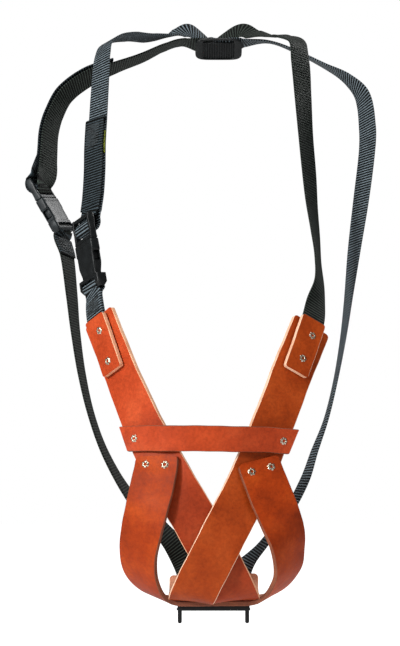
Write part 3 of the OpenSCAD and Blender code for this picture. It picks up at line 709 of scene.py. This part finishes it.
# The shadowed bore of a rivet's tube.
def shaded_bore(name):
    made, tree, skin = finish_named(name)
    place = add(tree, "TexCoord").outputs["Object"]
    bore_shade = add(tree, "TexNoise", {"Scale": 1 / (0.8 * MM), "Detail": 3}, Vector=place)
    # painted shade: the disc down in the bore is coloured near black
    dark = ramp(tree, bore_shade.outputs["Fac"], ((0.4, "#15110e"), (0.7, "#2c241c")))
    tree.links.new(dark, skin.inputs["Base Color"])
    skin.inputs["Roughness"].default_value = 0.8
    return made


# the last number of a leather sets how dark its painted shade is at the bottom
russet = tanned_leather("leather_russet", "#c9532a", "#b9441e", "#a23714", 0.62)
russet_deep = tanned_leather("leather_russet_deep", "#c0521d", "#ae4412", "#95350a", 0.80)
sling_face = tanned_leather("leather_sling", "#b84812", "#a03709", "#802905")
raw_edge = cut_edge("cut_edge_raw", "#f0bd98", "#d08a5c")
pale_edge = cut_edge("cut_edge_pale", "#f3cdb0", "#dba27c")
burnished_edge = cut_edge("cut_edge_burnished", "#8a4a2c", "#5f2c17")
flesh = flesh_side("leather_flesh_side", "#d79a7c", "#b06f52")
# one black webbing in three finishes: the first is the lit copy, the other two are darker copies as painted
# shade
web_black = ribbed_web("webbing_black", "#808e96", "#020303")
web_shade = ribbed_web("webbing_black_shaded", "#465049", "#020202")
fold_web_shaded = ribbed_web("webbing_folded_shaded", "#48545a", "#020303")
thread = sewing_thread("thread_black", "#3a4144", "#1a1e20")
marker = sewing_thread("thread_yellow", "#8f9a2e", "#59611a")
acetal = moulded_acetal("acetal_black", "#0c0e0f", "#16191a")
# a lighter copy of the black acetal for the side buckle: painted reflection on its face
acetal_lit = moulded_acetal("acetal_painted_reflection", "#14181a", "#262c2e")
nickel = nickel_plate("nickel_plate", "#cdc5b4", "#806d52")
bore = shaded_bore("rivet_bore_painted_shade")
enamel = black_enamel("black_enamel", "#0b0b0c", "#161617")


# Webbing in the ladder locks. Local points are (along, across, out) in the buckle's frame.
def lock_path(place, spots):
    put = placed(place)
    wide = put.to_3x3() @ Vector((0, 1, 0))
    return [(put @ Vector((x, y, z)), wide) for x, y, z in spots]


# ---------------------------------------------------------------- leather
def stands(piece, body, slot, *nodes):
    """piece rides on a body and stands for its CAD nodes; slot is not used."""
    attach(piece, body)
    if nodes:
        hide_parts(*nodes)
    return piece


left_strap = leather("leather_left_chest", LEFT_CHEST_ROUTE, 0, 17, STRAP_W, [russet, raw_edge, flesh], 3, 4)
right_strap = leather("leather_right_chest", RIGHT_CHEST_ROUTE, 0, 16, STRAP_W,
                      [russet_deep, pale_edge, flesh], 5, 4)
band = leather("leather_cross_band", BAND_ROUTE, 0, 10, BAND_W, [russet, burnished_edge, flesh], 7, 0.8,
               slant=(-5, 5))
sling = leather("leather_sling", SLING_ROUTE, 0, 25, STRAP_W, [sling_face, burnished_edge, flesh], 9, 5)
stands(left_strap, ROOT, "russet_leather", "left_chest_strap")
stands(right_strap, ROOT, "dark_leather", "right_chest_strap")
stands(band, ROOT, "band_leather", "cross_band")
stands(sling, ROOT, "russet_leather", "basket_sling")

TAB_LAYER = LEATHER_T + WEB_T + 2 * LAY
TABS = {
    "left": (LEFT_CHEST_ROUTE, 1.0, -1.5, -3, russet, raw_edge, 11),
    "right": (RIGHT_CHEST_ROUTE, 0.9, -1.0, 3, russet_deep, pale_edge, 13),
}
for side, (route, u, c, turn, face, edge, seed) in TABS.items():
    at, way, wide, out = frame_at(route, u)
    lean = Matrix.Rotation(math.radians(turn), 3, out)
    way, wide = lean @ way, lean @ wide
    middle = at + c * frame_at(route, u)[2] + TAB_LAYER * out
    ends = [(middle - way * TAB_LEN / 2, wide), (middle, wide), (middle + way * TAB_LEN / 2, wide)]
    tab = leather("leather_tab_" + side, ends, 0, 2, TAB_W, [face, edge, flesh], seed, 3)
    stands(tab, ROOT, "band_leather", side + "_shoulder_tab")


# ---------------------------------------------------------------- rivets
def rosette(petals, seed):
    """A tube rivet's split and rolled head, in its own frame: Z outward, 0 on the leather."""
    rnd = random.Random(seed)
    rings = [(1.25, -1.6, 1.0), (1.3, 0.25, 1.0), (1.75, 0.85, 0.96), (2.5, 0.95, 0.86), (3.25, 0.62, 0.74),
             (3.8, 0.22, 0.58), (4.0, 0.02, 0.40)]
    points, faces = [], []
    steps = 6
    for j in range(petals):
        base = len(points)
        centre = 2 * math.pi * (j + rnd.uniform(-0.07, 0.07)) / petals
        reach = rnd.uniform(0.94, 1.0)
        for ring, height, spread in rings:
            for k in range(steps + 1):
                across = 2 * k / steps - 1
                turn = centre + across * spread * math.pi / petals
                r = 1.3 + (ring - 1.3) * reach if ring > 1.3 else ring
                z = height - (0.22 * across**2 if ring > 1.8 else 0)
                z = max(z, 0.02) if ring > 1.3 else z
                points.append(Vector((r * math.cos(turn), r * math.sin(turn), z)))
        for i in range(len(rings) - 1):
            for k in range(steps):
                a = base + i * (steps + 1) + k
                faces.append((a, a + 1, a + steps + 2, a + steps + 1))
    return points, faces


def circle(radius, z, sides, x=0.0):
    turns = [2 * math.pi * k / sides for k in range(sides)]
    return [Vector((x + radius * math.cos(turn), radius * math.sin(turn), z)) for turn in turns]


def disc(radius, z, sides=24):
    return circle(radius, z, sides), [tuple(range(sides))]


def washer(radius, z0, z1, sides=28):
    """The rivet's plain head on the far side: a low dome with a rolled rim."""
    levels = [(radius, z0), (radius, z0 + 0.55 * (z1 - z0)), (radius * 0.93, z0 + 0.9 * (z1 - z0)),
              (radius * 0.6, z1), (radius * 0.34, z1), (radius * 0.30, z1 - 0.4 * (z1 - z0))]
    points, faces = [], []
    for r, z in levels:
        points += circle(r, z, sides)
    for i in range(len(levels) - 1):
        for k in range(sides):
            j = (k + 1) % sides
            faces.append((i * sides + k, i * sides + j, (i + 1) * sides + j, (i + 1) * sides + k))
    faces += [tuple(range(sides)), tuple(range(len(points) - sides, len(points)))]
    return points, faces


def rivets(name, spots, node):
    """spots: (route, u, across, height of the outer face, thickness of the stack)."""
    heads, kinds = [], []
    for n, (route, u, c, top, stack) in enumerate(spots):
        at, way, wide, out = frame_at(route, u)
        put = placed((at + c * wide + top * out, way, wide))
        petals = 6 + n % 2
        # kind 1, the disc down in the tube, takes the bore's painted shade finish
        for part, kind in ((rosette(petals, 17 * n + len(node)), 0), (disc(1.27, -1.5), 1),
                           (washer(ROSETTE_R, -stack, -stack - 0.9), 0)):
            heads.append(([put @ p for p in part[0]], part[1]))
            kinds += [kind] * len(part[1])
    points, faces = gather(heads)
    made = build(name, points, faces, [nickel, bore], kinds, sharp=50)
    stands(made, ROOT, "rivet_nickel", node)
    return made


TAB_TOP = TAB_LAYER + LEATHER_T / 2
TAB_STACK = 2 * LEATHER_T + WEB_T + 2 * LAY
TWO_STACK = 2 * LEATHER_T + LAY
LEFT_END, RIGHT_END = len(LEFT_CHEST_ROUTE) - 1.5, len(RIGHT_CHEST_ROUTE) - 1.5
rivets("rivets_left_tab", [(LEFT_CHEST_ROUTE, 0.53, 1, TAB_TOP, TAB_STACK),
                           (LEFT_CHEST_ROUTE, 1.51, -3, TAB_TOP, TAB_STACK)], "left_tab_rivets")
rivets("rivets_right_tab", [(RIGHT_CHEST_ROUTE, 0.46, 1.6, TAB_TOP, TAB_STACK),
                            (RIGHT_CHEST_ROUTE, 1.31, 1.2, TAB_TOP, TAB_STACK)], "right_tab_rivets")
rivets("rivets_band", [(BAND_ROUTE, 1, 0, LEATHER_T / 2, TWO_STACK),
                       (BAND_ROUTE, 9, 0, LEATHER_T / 2, TWO_STACK)], "band_rivets")
rivets("rivets_sling", [(SLING_ROUTE, 1, -10, LEATHER_T / 2, TWO_STACK),
                        (SLING_ROUTE, 1, 9, LEATHER_T / 2, TWO_STACK),
                        (SLING_ROUTE, 24.55, -10, LEATHER_T / 2, TWO_STACK),
                        (SLING_ROUTE, 24.55, 10, LEATHER_T / 2, TWO_STACK)], "sling_rivets")
REAR_TOP = LEATHER_T / 2 + LAY + WEB_T
rivets("rivets_rear", [(LEFT_CHEST_ROUTE, LEFT_END, 0, REAR_TOP, LEATHER_T + LAY + WEB_T),
                       (RIGHT_CHEST_ROUTE, RIGHT_END, 0, REAR_TOP, LEATHER_T + LAY + WEB_T)], "rear_rivets")

# ---------------------------------------------------------------- webbing
left_brace = webbing("web_left_brace", LEFT_BRACE_ROUTE, 0.4, len(LEFT_BRACE_ROUTE) - 1, web_black)
right_brace = webbing("web_right_brace", RIGHT_BRACE_ROUTE, 0, len(RIGHT_BRACE_ROUTE) - 2.40, web_shade)
side_joined = lock_path(SIDE_BUCKLE, [(31.5, 0, -1.8), (31.0, 0, 1.6), (33.0, 0, 3.2), (36.0, 0, 2.0),
                                      (39.5, 0, -1.2)])
side_joined += SIDE_WEB_ROUTE
side_web = webbing("web_side", side_joined, 0, len(side_joined) - 1, web_shade)
loop_joined = lock_path(FRONT_BUCKLE, [(41.4, 0, -1.5), (41.0, 0, 2.0), (43.0, 0, 4.6), (46.0, 0, 5.0),
                                       (50.0, 0, 3.6)])
loop_joined += WEB_LOOP_ROUTE[1:]
web_loop = webbing("web_front_loop", loop_joined, 0, len(loop_joined) - 1, web_black)
under = lock_path(FRONT_BUCKLE, [(43.0, 0, -3.4), (46.0, 0, -4.4), (50.0, 0, -3.6)])
for u in (1, 2, 3):
    at, _, _, out = frame_at(WEB_LOOP_ROUTE, u)
    under.append((at - 2.2 * out, WEB_LOOP_ROUTE[u][1]))
stands(left_brace, ROOT, "webbing", "left_brace")
stands(right_brace, ROOT, "webbing", "right_brace")
stands(side_web, ROOT, "webbing", "side_web")
stands(web_loop, ROOT, "webbing", "front_web_loop")
stands(webbing("web_front_loop_under", under, 0, 5, web_black), ROOT, "webbing")


# Where the brace was turned back and sewn: the outer layer, its end folded over, and the bar tack.
def folded(name, route, u0, u1, gap, slot, *nodes):
    leg = webbing(name, route, u0, u1, fold_web_shaded, h=gap)
    return stands(leg, ROOT, slot, *nodes)


folded("web_front_return", LEFT_BRACE_ROUTE, 0.4, 3.92, -RETURN_GAP, "webbing_fold", "front_return_leg")
folded("web_side_return", RIGHT_BRACE_ROUTE, 24.1, len(RIGHT_BRACE_ROUTE) - 1.4, -RETURN_GAP,
       "webbing_fold", "side_return_leg")


def tack(name, route, s0, s1, c0, c1, h, rows, slot="webbing_fold"):
    pace = paced(route, 0, len(route) - 1)
    runs = [zigzag(route, pace, s0, s1, c0, c1, h, rows),
            zigzag(route, pace, s1, s0, c0 + 0.6, c1 - 0.6, h, 6)]
    points, faces = gather(runs)
    return stands(build(name, points, faces, [thread], sharp=60), ROOT, slot)


def rolled_end(name, route, u, gap, slot):
    """The fold itself: webbing turned over on a small radius from one layer to the other."""
    at, way, wide, out = frame_at(route, u)
    radius = abs(gap) / 2
    middle = at + gap / 2 * out
    bend = [(middle + radius * (math.sin(a) * way - math.cos(a) * out * (1 if gap < 0 else -1)), wide)
            for a in [math.pi * k / 6 for k in range(7)]]
    piece = webbing(name, bend, 0, 6, fold_web_shaded)
    return stands(piece, ROOT, slot)


rolled_end("web_front_fold", LEFT_BRACE_ROUTE, 3.92, -RETURN_GAP, "webbing_fold")
stations, lengths = paced(LEFT_BRACE_ROUTE, 0, len(LEFT_BRACE_ROUTE) - 1)
tack_from, tack_to = [lengths[min(range(len(stations)), key=lambda k: abs(stations[k] - u))]
                      for u in (2.95, 3.75)]
tack("stitching_front", LEFT_BRACE_ROUTE, tack_from, tack_to, -9.5, 7.5, -RETURN_GAP - 1.15, 18)
tape = webbing("edge_yellow", LEFT_BRACE_ROUTE, 2.6, 3.45, marker, c=WEB_W / 2 + 0.5, h=-WEB_T - 0.5,
               thick=0.9, wide=1.3)
stands(tape, ROOT, "yellow_thread", "yellow_tape")
fold = webbing("web_side_fold", side_joined, 3.7, 5.95, fold_web_shaded, h=WEB_T + LAY)
stands(fold, ROOT, "webbing_fold", "side_web_fold")
tack("stitching_side_fold", side_joined, 24, 38, -9.5, 9.5, 1.5 * WEB_T + LAY + 0.35, 12)
tack("stitching_loop", loop_joined, 26, 40, -9, 9, WEB_T / 2 + 0.35, 14, "webbing")


# ---------------------------------------------------------------- moulded parts
def brick(x0, x1, y0, y1, z0, z1, round_off=0.5, segments=3):
    """A block with rounded edges, as points and faces."""
    bm = bmesh.new()
    bmesh.ops.create_cube(bm, size=1)
    for v in bm.verts:
        v.co = Vector((x0 + (v.co.x + 0.5) * (x1 - x0), y0 + (v.co.y + 0.5) * (y1 - y0),
                       z0 + (v.co.z + 0.5) * (z1 - z0)))
    if round_off:
        bmesh.ops.bevel(bm, geom=list(bm.edges), offset=round_off, segments=segments, profile=0.6,
                        affect="EDGES")
    bm.verts.index_update()
    points = [v.co.copy() for v in bm.verts]
    faces = [tuple(v.index for v in f.verts) for f in bm.faces]
    bm.free()
    return points, faces


def squircle(a, b, power, turn):
    c, s = math.cos(turn), math.sin(turn)
    return (math.copysign(a * abs(c)**(2 / power), c), math.copysign(b * abs(s)**(2 / power), s))


def loft(sections, sides=40):
    """A closed body along X through (x, half width, half depth, squareness) sections."""
    points, faces = [], []
    for x, a, b, power in sections:
        points += [Vector((x, *squircle(a, b, power, 2 * math.pi * (k + 0.5) / sides))) for k in range(sides)]
    for i in range(len(sections) - 1):
        for k in range(sides):
            j = (k + 1) % sides
            faces.append((i * sides + k, i * sides + j, (i + 1) * sides + j, (i + 1) * sides + k))
    faces += [tuple(range(sides)), tuple(range(len(points) - sides, len(points)))]
    return points, faces


def ring_plate(outer, inner, z0, z1, sides=72):
    """A rounded frame: an outer and an inner squircle (half width, half height, squareness)."""
    levels = [(outer, 0.0, z0 + 0.5), (outer, 0.0, z1 - 0.9), (outer, -0.35, z1 - 0.3), (outer, -1.1, z1),
              (inner, 0.9, z1), (inner, 0.25, z1 - 0.3), (inner, 0.0, z1 - 0.9), (inner, 0.0, z0 + 0.5),
              (inner, 0.4, z0), (outer, -0.4, z0)]
    points, faces = [], []
    for (a, b, power), grow, z in levels:
        points += [Vector((*squircle(a + grow, b + min(grow, 0.3), power, 2 * math.pi * (k + 0.5) / sides),
                           z)) for k in range(sides)]
    n = len(levels)
    for i in range(n):
        for k in range(sides):
            j, m = (k + 1) % sides, (i + 1) % n
            faces.append((i * sides + k, i * sides + j, m * sides + j, m * sides + k))
    return points, faces


def moulded(name, place, parts, finish, holes=(), round_off=0.0):
    """Parts in a frame of their own, joined, pierced and put in place."""
    put = placed(place)
    points, faces = gather(parts)
    piece = build(name, points, faces, [finish], sharp=35)
    if holes:
        cut_points, cut_faces = gather(holes)
        cutter = build(name + "_cut", cut_points, cut_faces, [finish], sharp=35)
        cut = piece.modifiers.new("pierce", "BOOLEAN")
        cut.object, cut.operation, cut.solver = cutter, "DIFFERENCE", "EXACT"
        cut.use_self = True
        bpy.context.view_layer.update()
        whole = bpy.data.meshes.new_from_object(piece.evaluated_get(bpy.context.evaluated_depsgraph_get()))
        piece.modifiers.clear()
        piece.data = whole
        bpy.data.objects.remove(cutter)
        whole.polygons.foreach_set("use_smooth", [True] * len(whole.polygons))
        whole.set_sharp_from_angle(angle=math.radians(35))
    if round_off:
        soft = piece.modifiers.new("soft_edges", "BEVEL")
        soft.width, soft.segments, soft.limit_method = round_off * MM, 2, "ANGLE"
        soft.angle_limit = math.radians(35)
        soft.harden_normals = False
    scale = Matrix.Diagonal((MM, MM, MM, 1))
    piece.data.transform(scale @ put @ scale.inverted())
    return piece


# Back slider: a rounded frame, a finely ribbed plate in its lower half, and a bar behind
def ribbed_plate(x0, x1, y0, y1, z, ribs, height):
    points, faces = [], []
    spots = []
    for k in range(ribs):
        for part, up in ((0.0, 0), (0.22, 1), (0.62, 1), (0.84, 0)):
            spots.append((x0 + (x1 - x0) * (k + part) / ribs, up * height))
    spots.append((x1, 0))
    for x, up in spots:
        points += [Vector((x, y, z + rise)) for y, rise in ((y0, -1.2), (y0, up), (y1, up), (y1, -1.2))]
    for i in range(len(spots) - 1):
        for k in range(4):
            j = (k + 1) % 4
            faces.append((4 * i + k, 4 * i + j, 4 * i + 4 + j, 4 * i + 4 + k))
    faces += [(0, 1, 2, 3), tuple(len(points) - k for k in (4, 3, 2, 1))]
    return points, faces


slider = moulded("slider_back", SLIDER_FRAME, [
    ring_plate((24.5, 14.5, 5.0), (16.4, 12.8, 9.0), 2.0, 4.7),
    ribbed_plate(-16.6, 16.6, -13.2, 8.0, 3.0, 13, 0.7),
    brick(-3.5, 3.5, -14.4, 6, -4.5, -2.3, 0.7),
    brick(-3.5, 3.5, -14.4, -12.8, -4.3, 3.0, 0.5)], acetal)
stands(slider, ROOT, "buckle_plastic", "back_slider")


# Side-release buckles
def receiver(name, place, length, flare, finish, node):
    half, deep = BUCKLE_W / 2, 5.25
    body = loft([(0.0, half - 0.6, deep - 0.7, 7), (0.7, half, deep - 0.1, 7), (11.0, half, deep, 7),
                 (12.6, half - 1.2, deep, 7), (23.5, half - 1.3, deep, 7), (26.5, half - 2.0, deep - 0.2, 7),
                 (length - 15.5, half - 3.4, deep - 0.8, 6), (length - 13.2, half - 3.2, deep - 1.2, 6),
                 (length - 12.4, half - 0.4, deep - 0.9, 7),
                 (length - 11.6, half + flare, deep - 0.3 + flare / 2, 8),
                 (length - 3.0, half + flare, deep - 0.3 + flare / 2, 8),
                 (length + flare / 2, half + flare - 1.8, deep - 2.0, 6)])
    holes = [brick(-1, 26, -13.5, 13.5, -3.5, 3.5, 0.8, 2), brick(12.5, 22.5, 12.2, 20, -3.4, 3.4, 1.2, 2),
             brick(12.5, 22.5, -20, -12.2, -3.4, 3.4, 1.2, 2),
             brick(length - 8.5, length - 4, -WEB_W / 2 - 1, WEB_W / 2 + 1, -9, 9, 1.0, 2)]
    shell = moulded(name, place, [body], finish, holes, 0.35)
    stands(shell, ROOT, "buckle_plastic", node)
    trim = [brick(3.0, 4.0, -half + 3, half - 3, z0, z0 + 0.6, 0.2) for z0 in (deep - 0.35, -deep - 0.25)]
    ridge = moulded(name + "_ridges", place, trim, finish)
    stands(ridge, ROOT, "buckle_plastic")


def insert(name, place, length, finish, node, body):
    half = BUCKLE_W / 2
    parts = []
    for s in (-1, 1):
        y0, y1 = sorted((s * (half - 3.4), s * half))
        rail = loft([(-length, 1.3, 2.4, 3), (-length + 1.2, 1.7, 3.6, 4), (-length + 7, 1.75, 4.0, 4),
                     (-length * 0.45, 1.75, 3.3, 4), (-3.0, 1.75, 3.6, 4), (-1.5, 1.7, 4.2, 4)], 20)
        parts.append(([p + Vector((0, (y0 + y1) / 2, 0)) for p in rail[0]], rail[1]))
    parts.append(brick(-length + 0.3, -length + 3.6, -half + 2, half - 2, -1.0, 2.2, 0.6))
    for k in range(3):
        parts.append(brick(-length + 0.6 + k, -length + 1.1 + k, -half + 3.6, half - 3.6, 2.0, 2.65, 0.2, 1))
    parts.append(brick(-length * 0.6, -length * 0.6 + 3.2, -half + 2, half - 2, -1.7, 1.7, 0.8))
    parts.append(loft([(-4.2, half - 1.0, 3.0, 7), (-3.6, half - 0.1, 4.3, 7), (-0.9, half - 0.1, 4.4, 7),
                       (-0.35, half - 0.7, 3.8, 7)]))
    parts.append(loft([(-1, 3.0, 2.3, 5), (6, 2.6, 2.2, 5), (20, 2.5, 2.1, 5), (23, 1.6, 1.4, 3)], 20))
    made = moulded(name, place, parts, finish)
    stands(made, body, "buckle_plastic", node)


def spring_arm(name, place, s, finish, node, body):
    """An arm that bows outward to a thumb pad with grip ridges, and ends in a rounded tip."""
    path = [(0.2, 9.0, 1.9, 1.5), (1.6, 9.0, 2.2, 1.5), (6, 9.3, 2.2, 1.4), (11, 10.2, 2.3, 1.5),
            (13.5, 11.2, 3.0, 1.6), (17, 11.5, 3.1, 1.6), (20.5, 11.0, 2.9, 1.6),
            (21.8, 9.8, 2.3, 1.5), (22.5, 9.0, 1.4, 0.9)]
    points, faces = loft([(x, w, d, 4) for x, _, d, w in path], 20)
    for i, (x, y, _, _) in enumerate(path):
        for k in range(20):
            points[i * 20 + k] += Vector((0, s * y, 0))
    y0, y1 = sorted((s * 12.7, s * 13.1))
    ridges = [brick(x, x + 0.6, y0, y1, -2.2, 2.2, 0.15, 1) for x in (14.6, 16.2, 17.8)]
    made = moulded(name, place, [(points, faces)] + ridges, finish)
    stands(made, body, "buckle_plastic", node)


for end, place, lock, length, flare, finish in (("front", FRONT_BUCKLE, 27, 48, 2.0, acetal),
                                                ("side", SIDE_BUCKLE, 24, 38, 0.0, acetal_lit)):
    receiver("receiver_" + end, place, length, flare, finish, end + "_receiver")
    insert("insert_" + end, place, lock, finish, end + "_insert", end + "_insert")
    for arm, s in (("a", -1), ("b", 1)):
        node = "%s_arm_%s" % (end, arm)
        spring_arm("arm_%s_%s" % (end, arm), place, s, finish, node, node)


def into_lock(name, route, spots, place, finish):
    """Webbing that runs on from a strap into a lock, as one mesh baked into world space."""
    joined = lock_path(place, spots) + route
    piece = webbing(name, joined, 0, len(joined) - 1, finish)
    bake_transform(piece)
    return piece


def taken(route, us, h=0.0):
    """Stations of a route, moved out by h, for a strap that carries on from it."""
    out = []
    for u in us:
        at, _, wide, face = frame_at(route, u)
        out.append((at + h * face, wide))
    return out


into_lock("web_front_brace_end", taken(LEFT_BRACE_ROUTE, (0.02, 0.42)),
          [(-9.4, 0, -2.0), (-9.6, 0.1, -5.0), (-12.5, 0.3, -9.0), (-18, 0.7, -11.6), (-24, 1.2, -11.8)],
          FRONT_BUCKLE, web_black)
into_lock("web_front_tail_end", taken(LEFT_BRACE_ROUTE, (0.1, 0.42), -RETURN_GAP),
          [(-11, 0, -2.6), (-15, 0, -2.7), (-21, 0.2, -2.9), (-26, 0.6, -3.6)],
          FRONT_BUCKLE, fold_web_shaded)
END = len(RIGHT_BRACE_ROUTE) - 1
into_lock("web_side_brace_end", taken(RIGHT_BRACE_ROUTE, (END - 0.30, END - 0.85, END - 1.42)),
          [(-7.5, 0, 1.9), (-9, 0, 3.4), (-12.5, 0, 5.4), (-17, 0, 7.4)],
          SIDE_BUCKLE, web_shade)
into_lock("web_side_tail_end", taken(RIGHT_BRACE_ROUTE, (END - 0.80, END - 1.42), -RETURN_GAP),
          [(-9.5, 0, -2.6), (-13, 0, -5.4), (-18, 0, -7.0), (-23, 0, -5.6), (-26.6, 0, -1.6),
           (-27.5, 0, 2.0)],
          SIDE_BUCKLE, fold_web_shaded)
for end, place, lock in (("front", FRONT_BUCKLE, 27), ("side", SIDE_BUCKLE, 24)):
    spots = ((0.78, -2.4), (0.74, 0.4), (0.64, 2.3), (0.5, 2.7), (0.40, 2.0), (0.34, -0.2), (0.33, -2.2))
    over = lock_path(place, [(-lock * share, 0, z) for share, z in spots])
    turn = webbing("web_%s_lock_turn" % end, over, 0, 6, web_black)
    stands(turn, end + "_insert", "webbing", end + "_lock_web")

# ---------------------------------------------------------------- base bracket
PLATE_T, PLATE_W, PLATE_D = 4.8, 68, 30
PRONG_R, PRONG_LEN = 2, 14


def bracket():
    parts = [brick(-PLATE_W / 2, PLATE_W / 2, -PLATE_D / 2, PLATE_D / 2, 0, PLATE_T, 0.7)]
    for s in (-1, 1):
        ring = 20
        levels = [(PRONG_R, 0.6), (PRONG_R, -PRONG_LEN + PRONG_R)]
        for a in (22, 45, 68, 85):
            a = math.radians(a)
            levels.append((PRONG_R * math.cos(a), -PRONG_LEN + PRONG_R - PRONG_R * math.sin(a)))
        points, faces = [], []
        for r, z in levels:
            points += circle(r, z, ring, s * (PLATE_W / 2 - PRONG_R))
        for i in range(len(levels) - 1):
            for k in range(ring):
                j = (k + 1) % ring
                faces.append((i * ring + k, i * ring + j, (i + 1) * ring + j, (i + 1) * ring + k))
        faces += [tuple(range(ring)), tuple(range(len(points) - ring, len(points)))]
        parts.append((points, faces))
        parts.append(brick(s * 32 - 3, s * 32 + 3, -4, 4, -0.9, 0.6, 0.4))
    flat = ((0, 0, 0), (1, 0, 0), (0, 1, 0))
    seats = [brick(s * 20 - 4.2, s * 20 + 4.2, -4.2, 4.2, -1, 1.6, 1.8, 4) for s in (-1, 1)]
    made = moulded("bracket_base", flat, parts, enamel, seats)
    stands(made, ROOT, "bracket_steel", "base_bracket")


bracket()
foot_points, foot_faces = washer(ROSETTE_R, 1.5, 0.3)
points, faces = gather([([p + Vector((s * 20, 0, 0)) for p in foot_points], foot_faces) for s in (-1, 1)])
feet = build("rivets_base", points, faces, [nickel, bore], [0] * len(faces), sharp=50)
stands(feet, ROOT, "rivet_nickel", "base_rivets")


# ---------------------------------------------------------------- stage, light and camera
def studio():
    """A round white floor, a big soft light at the left, dim ones round the rest, and a white sky.

    Floor and sky look full white, but give the object only a little light, so black webbing stays black.
    """
    ring, reach, floor = 64, 4.0, -0.30
    mesh = bpy.data.meshes.new("floor")
    mesh.from_pydata(circle(reach, floor, ring), [], [tuple(range(ring))])
    paper, tree, skin = finish_named("white_paper")
    skin.inputs["Base Color"].default_value = tint("#ffffff")
    skin.inputs["Roughness"].default_value = 0.9
    glow = skin.inputs["Emission Color"], skin.inputs["Emission Strength"]
    glow[0].default_value = tint("#ffffff")
    seen = add(tree, "LightPath").outputs["Is Camera Ray"]
    strength = add(tree, "MapRange", {"To Min": 0.07, "To Max": 1.0}, Value=seen)
    tree.links.new(strength.outputs["Result"], glow[1])
    mesh.materials.append(paper)
    floor_piece = bpy.data.objects.new("floor", mesh)
    bpy.context.scene.collection.objects.link(floor_piece)

    def lamp(name, at, aim, size, watts, colour="#ffffff"):
        data = bpy.data.lights.new(name, "AREA")
        data.shape, data.size, data.energy = "DISK", size, watts
        data.color = tint(colour)[:3]
        lamp_object = bpy.data.objects.new(name, data)
        lamp_object.location = at
        lamp_object.rotation_euler = (Vector(aim) - Vector(at)).to_track_quat("-Z", "Y").to_euler()
        bpy.context.scene.collection.objects.link(lamp_object)

    middle = (0, 0.05, 0.28)
    lamp("key", (-1.6, -1.5, 1.0), middle, 0.5, 50)
    lamp("top", (-0.2, -0.4, 1.9), middle, 0.8, 13)
    lamp("fill", (1.4, -1.8, 0.4), middle, 1.0, 6)
    lamp("rim", (1.3, 1.3, 1.5), middle, 0.6, 16)
    world = bpy.context.scene.world or bpy.data.worlds.new("studio")
    bpy.context.scene.world = world
    world.use_nodes = True
    sky = world.node_tree.nodes["Background"]
    sky.inputs["Color"].default_value = tint("#ffffff")
    seen = add(world.node_tree, "LightPath").outputs["Is Camera Ray"]
    strength = add(world.node_tree, "MapRange", {"To Min": 0.16, "To Max": 1.0}, Value=seen)
    world.node_tree.links.new(strength.outputs["Result"], sky.inputs["Strength"])


studio()

bpy.context.scene.view_settings.view_transform = "Standard"

camera_data = bpy.data.cameras.new("camera")
camera_data.sensor_width = 36
camera_data.lens = 117.3
camera_data.sensor_fit = "AUTO"
camera = bpy.data.objects.new("camera", camera_data)
camera.location = (-12.8 * MM, -2000 * MM, 271.5 * MM)
camera.rotation_euler = (math.radians(90), 0, 0)
bpy.context.scene.collection.objects.link(camera)
bpy.context.scene.camera = camera
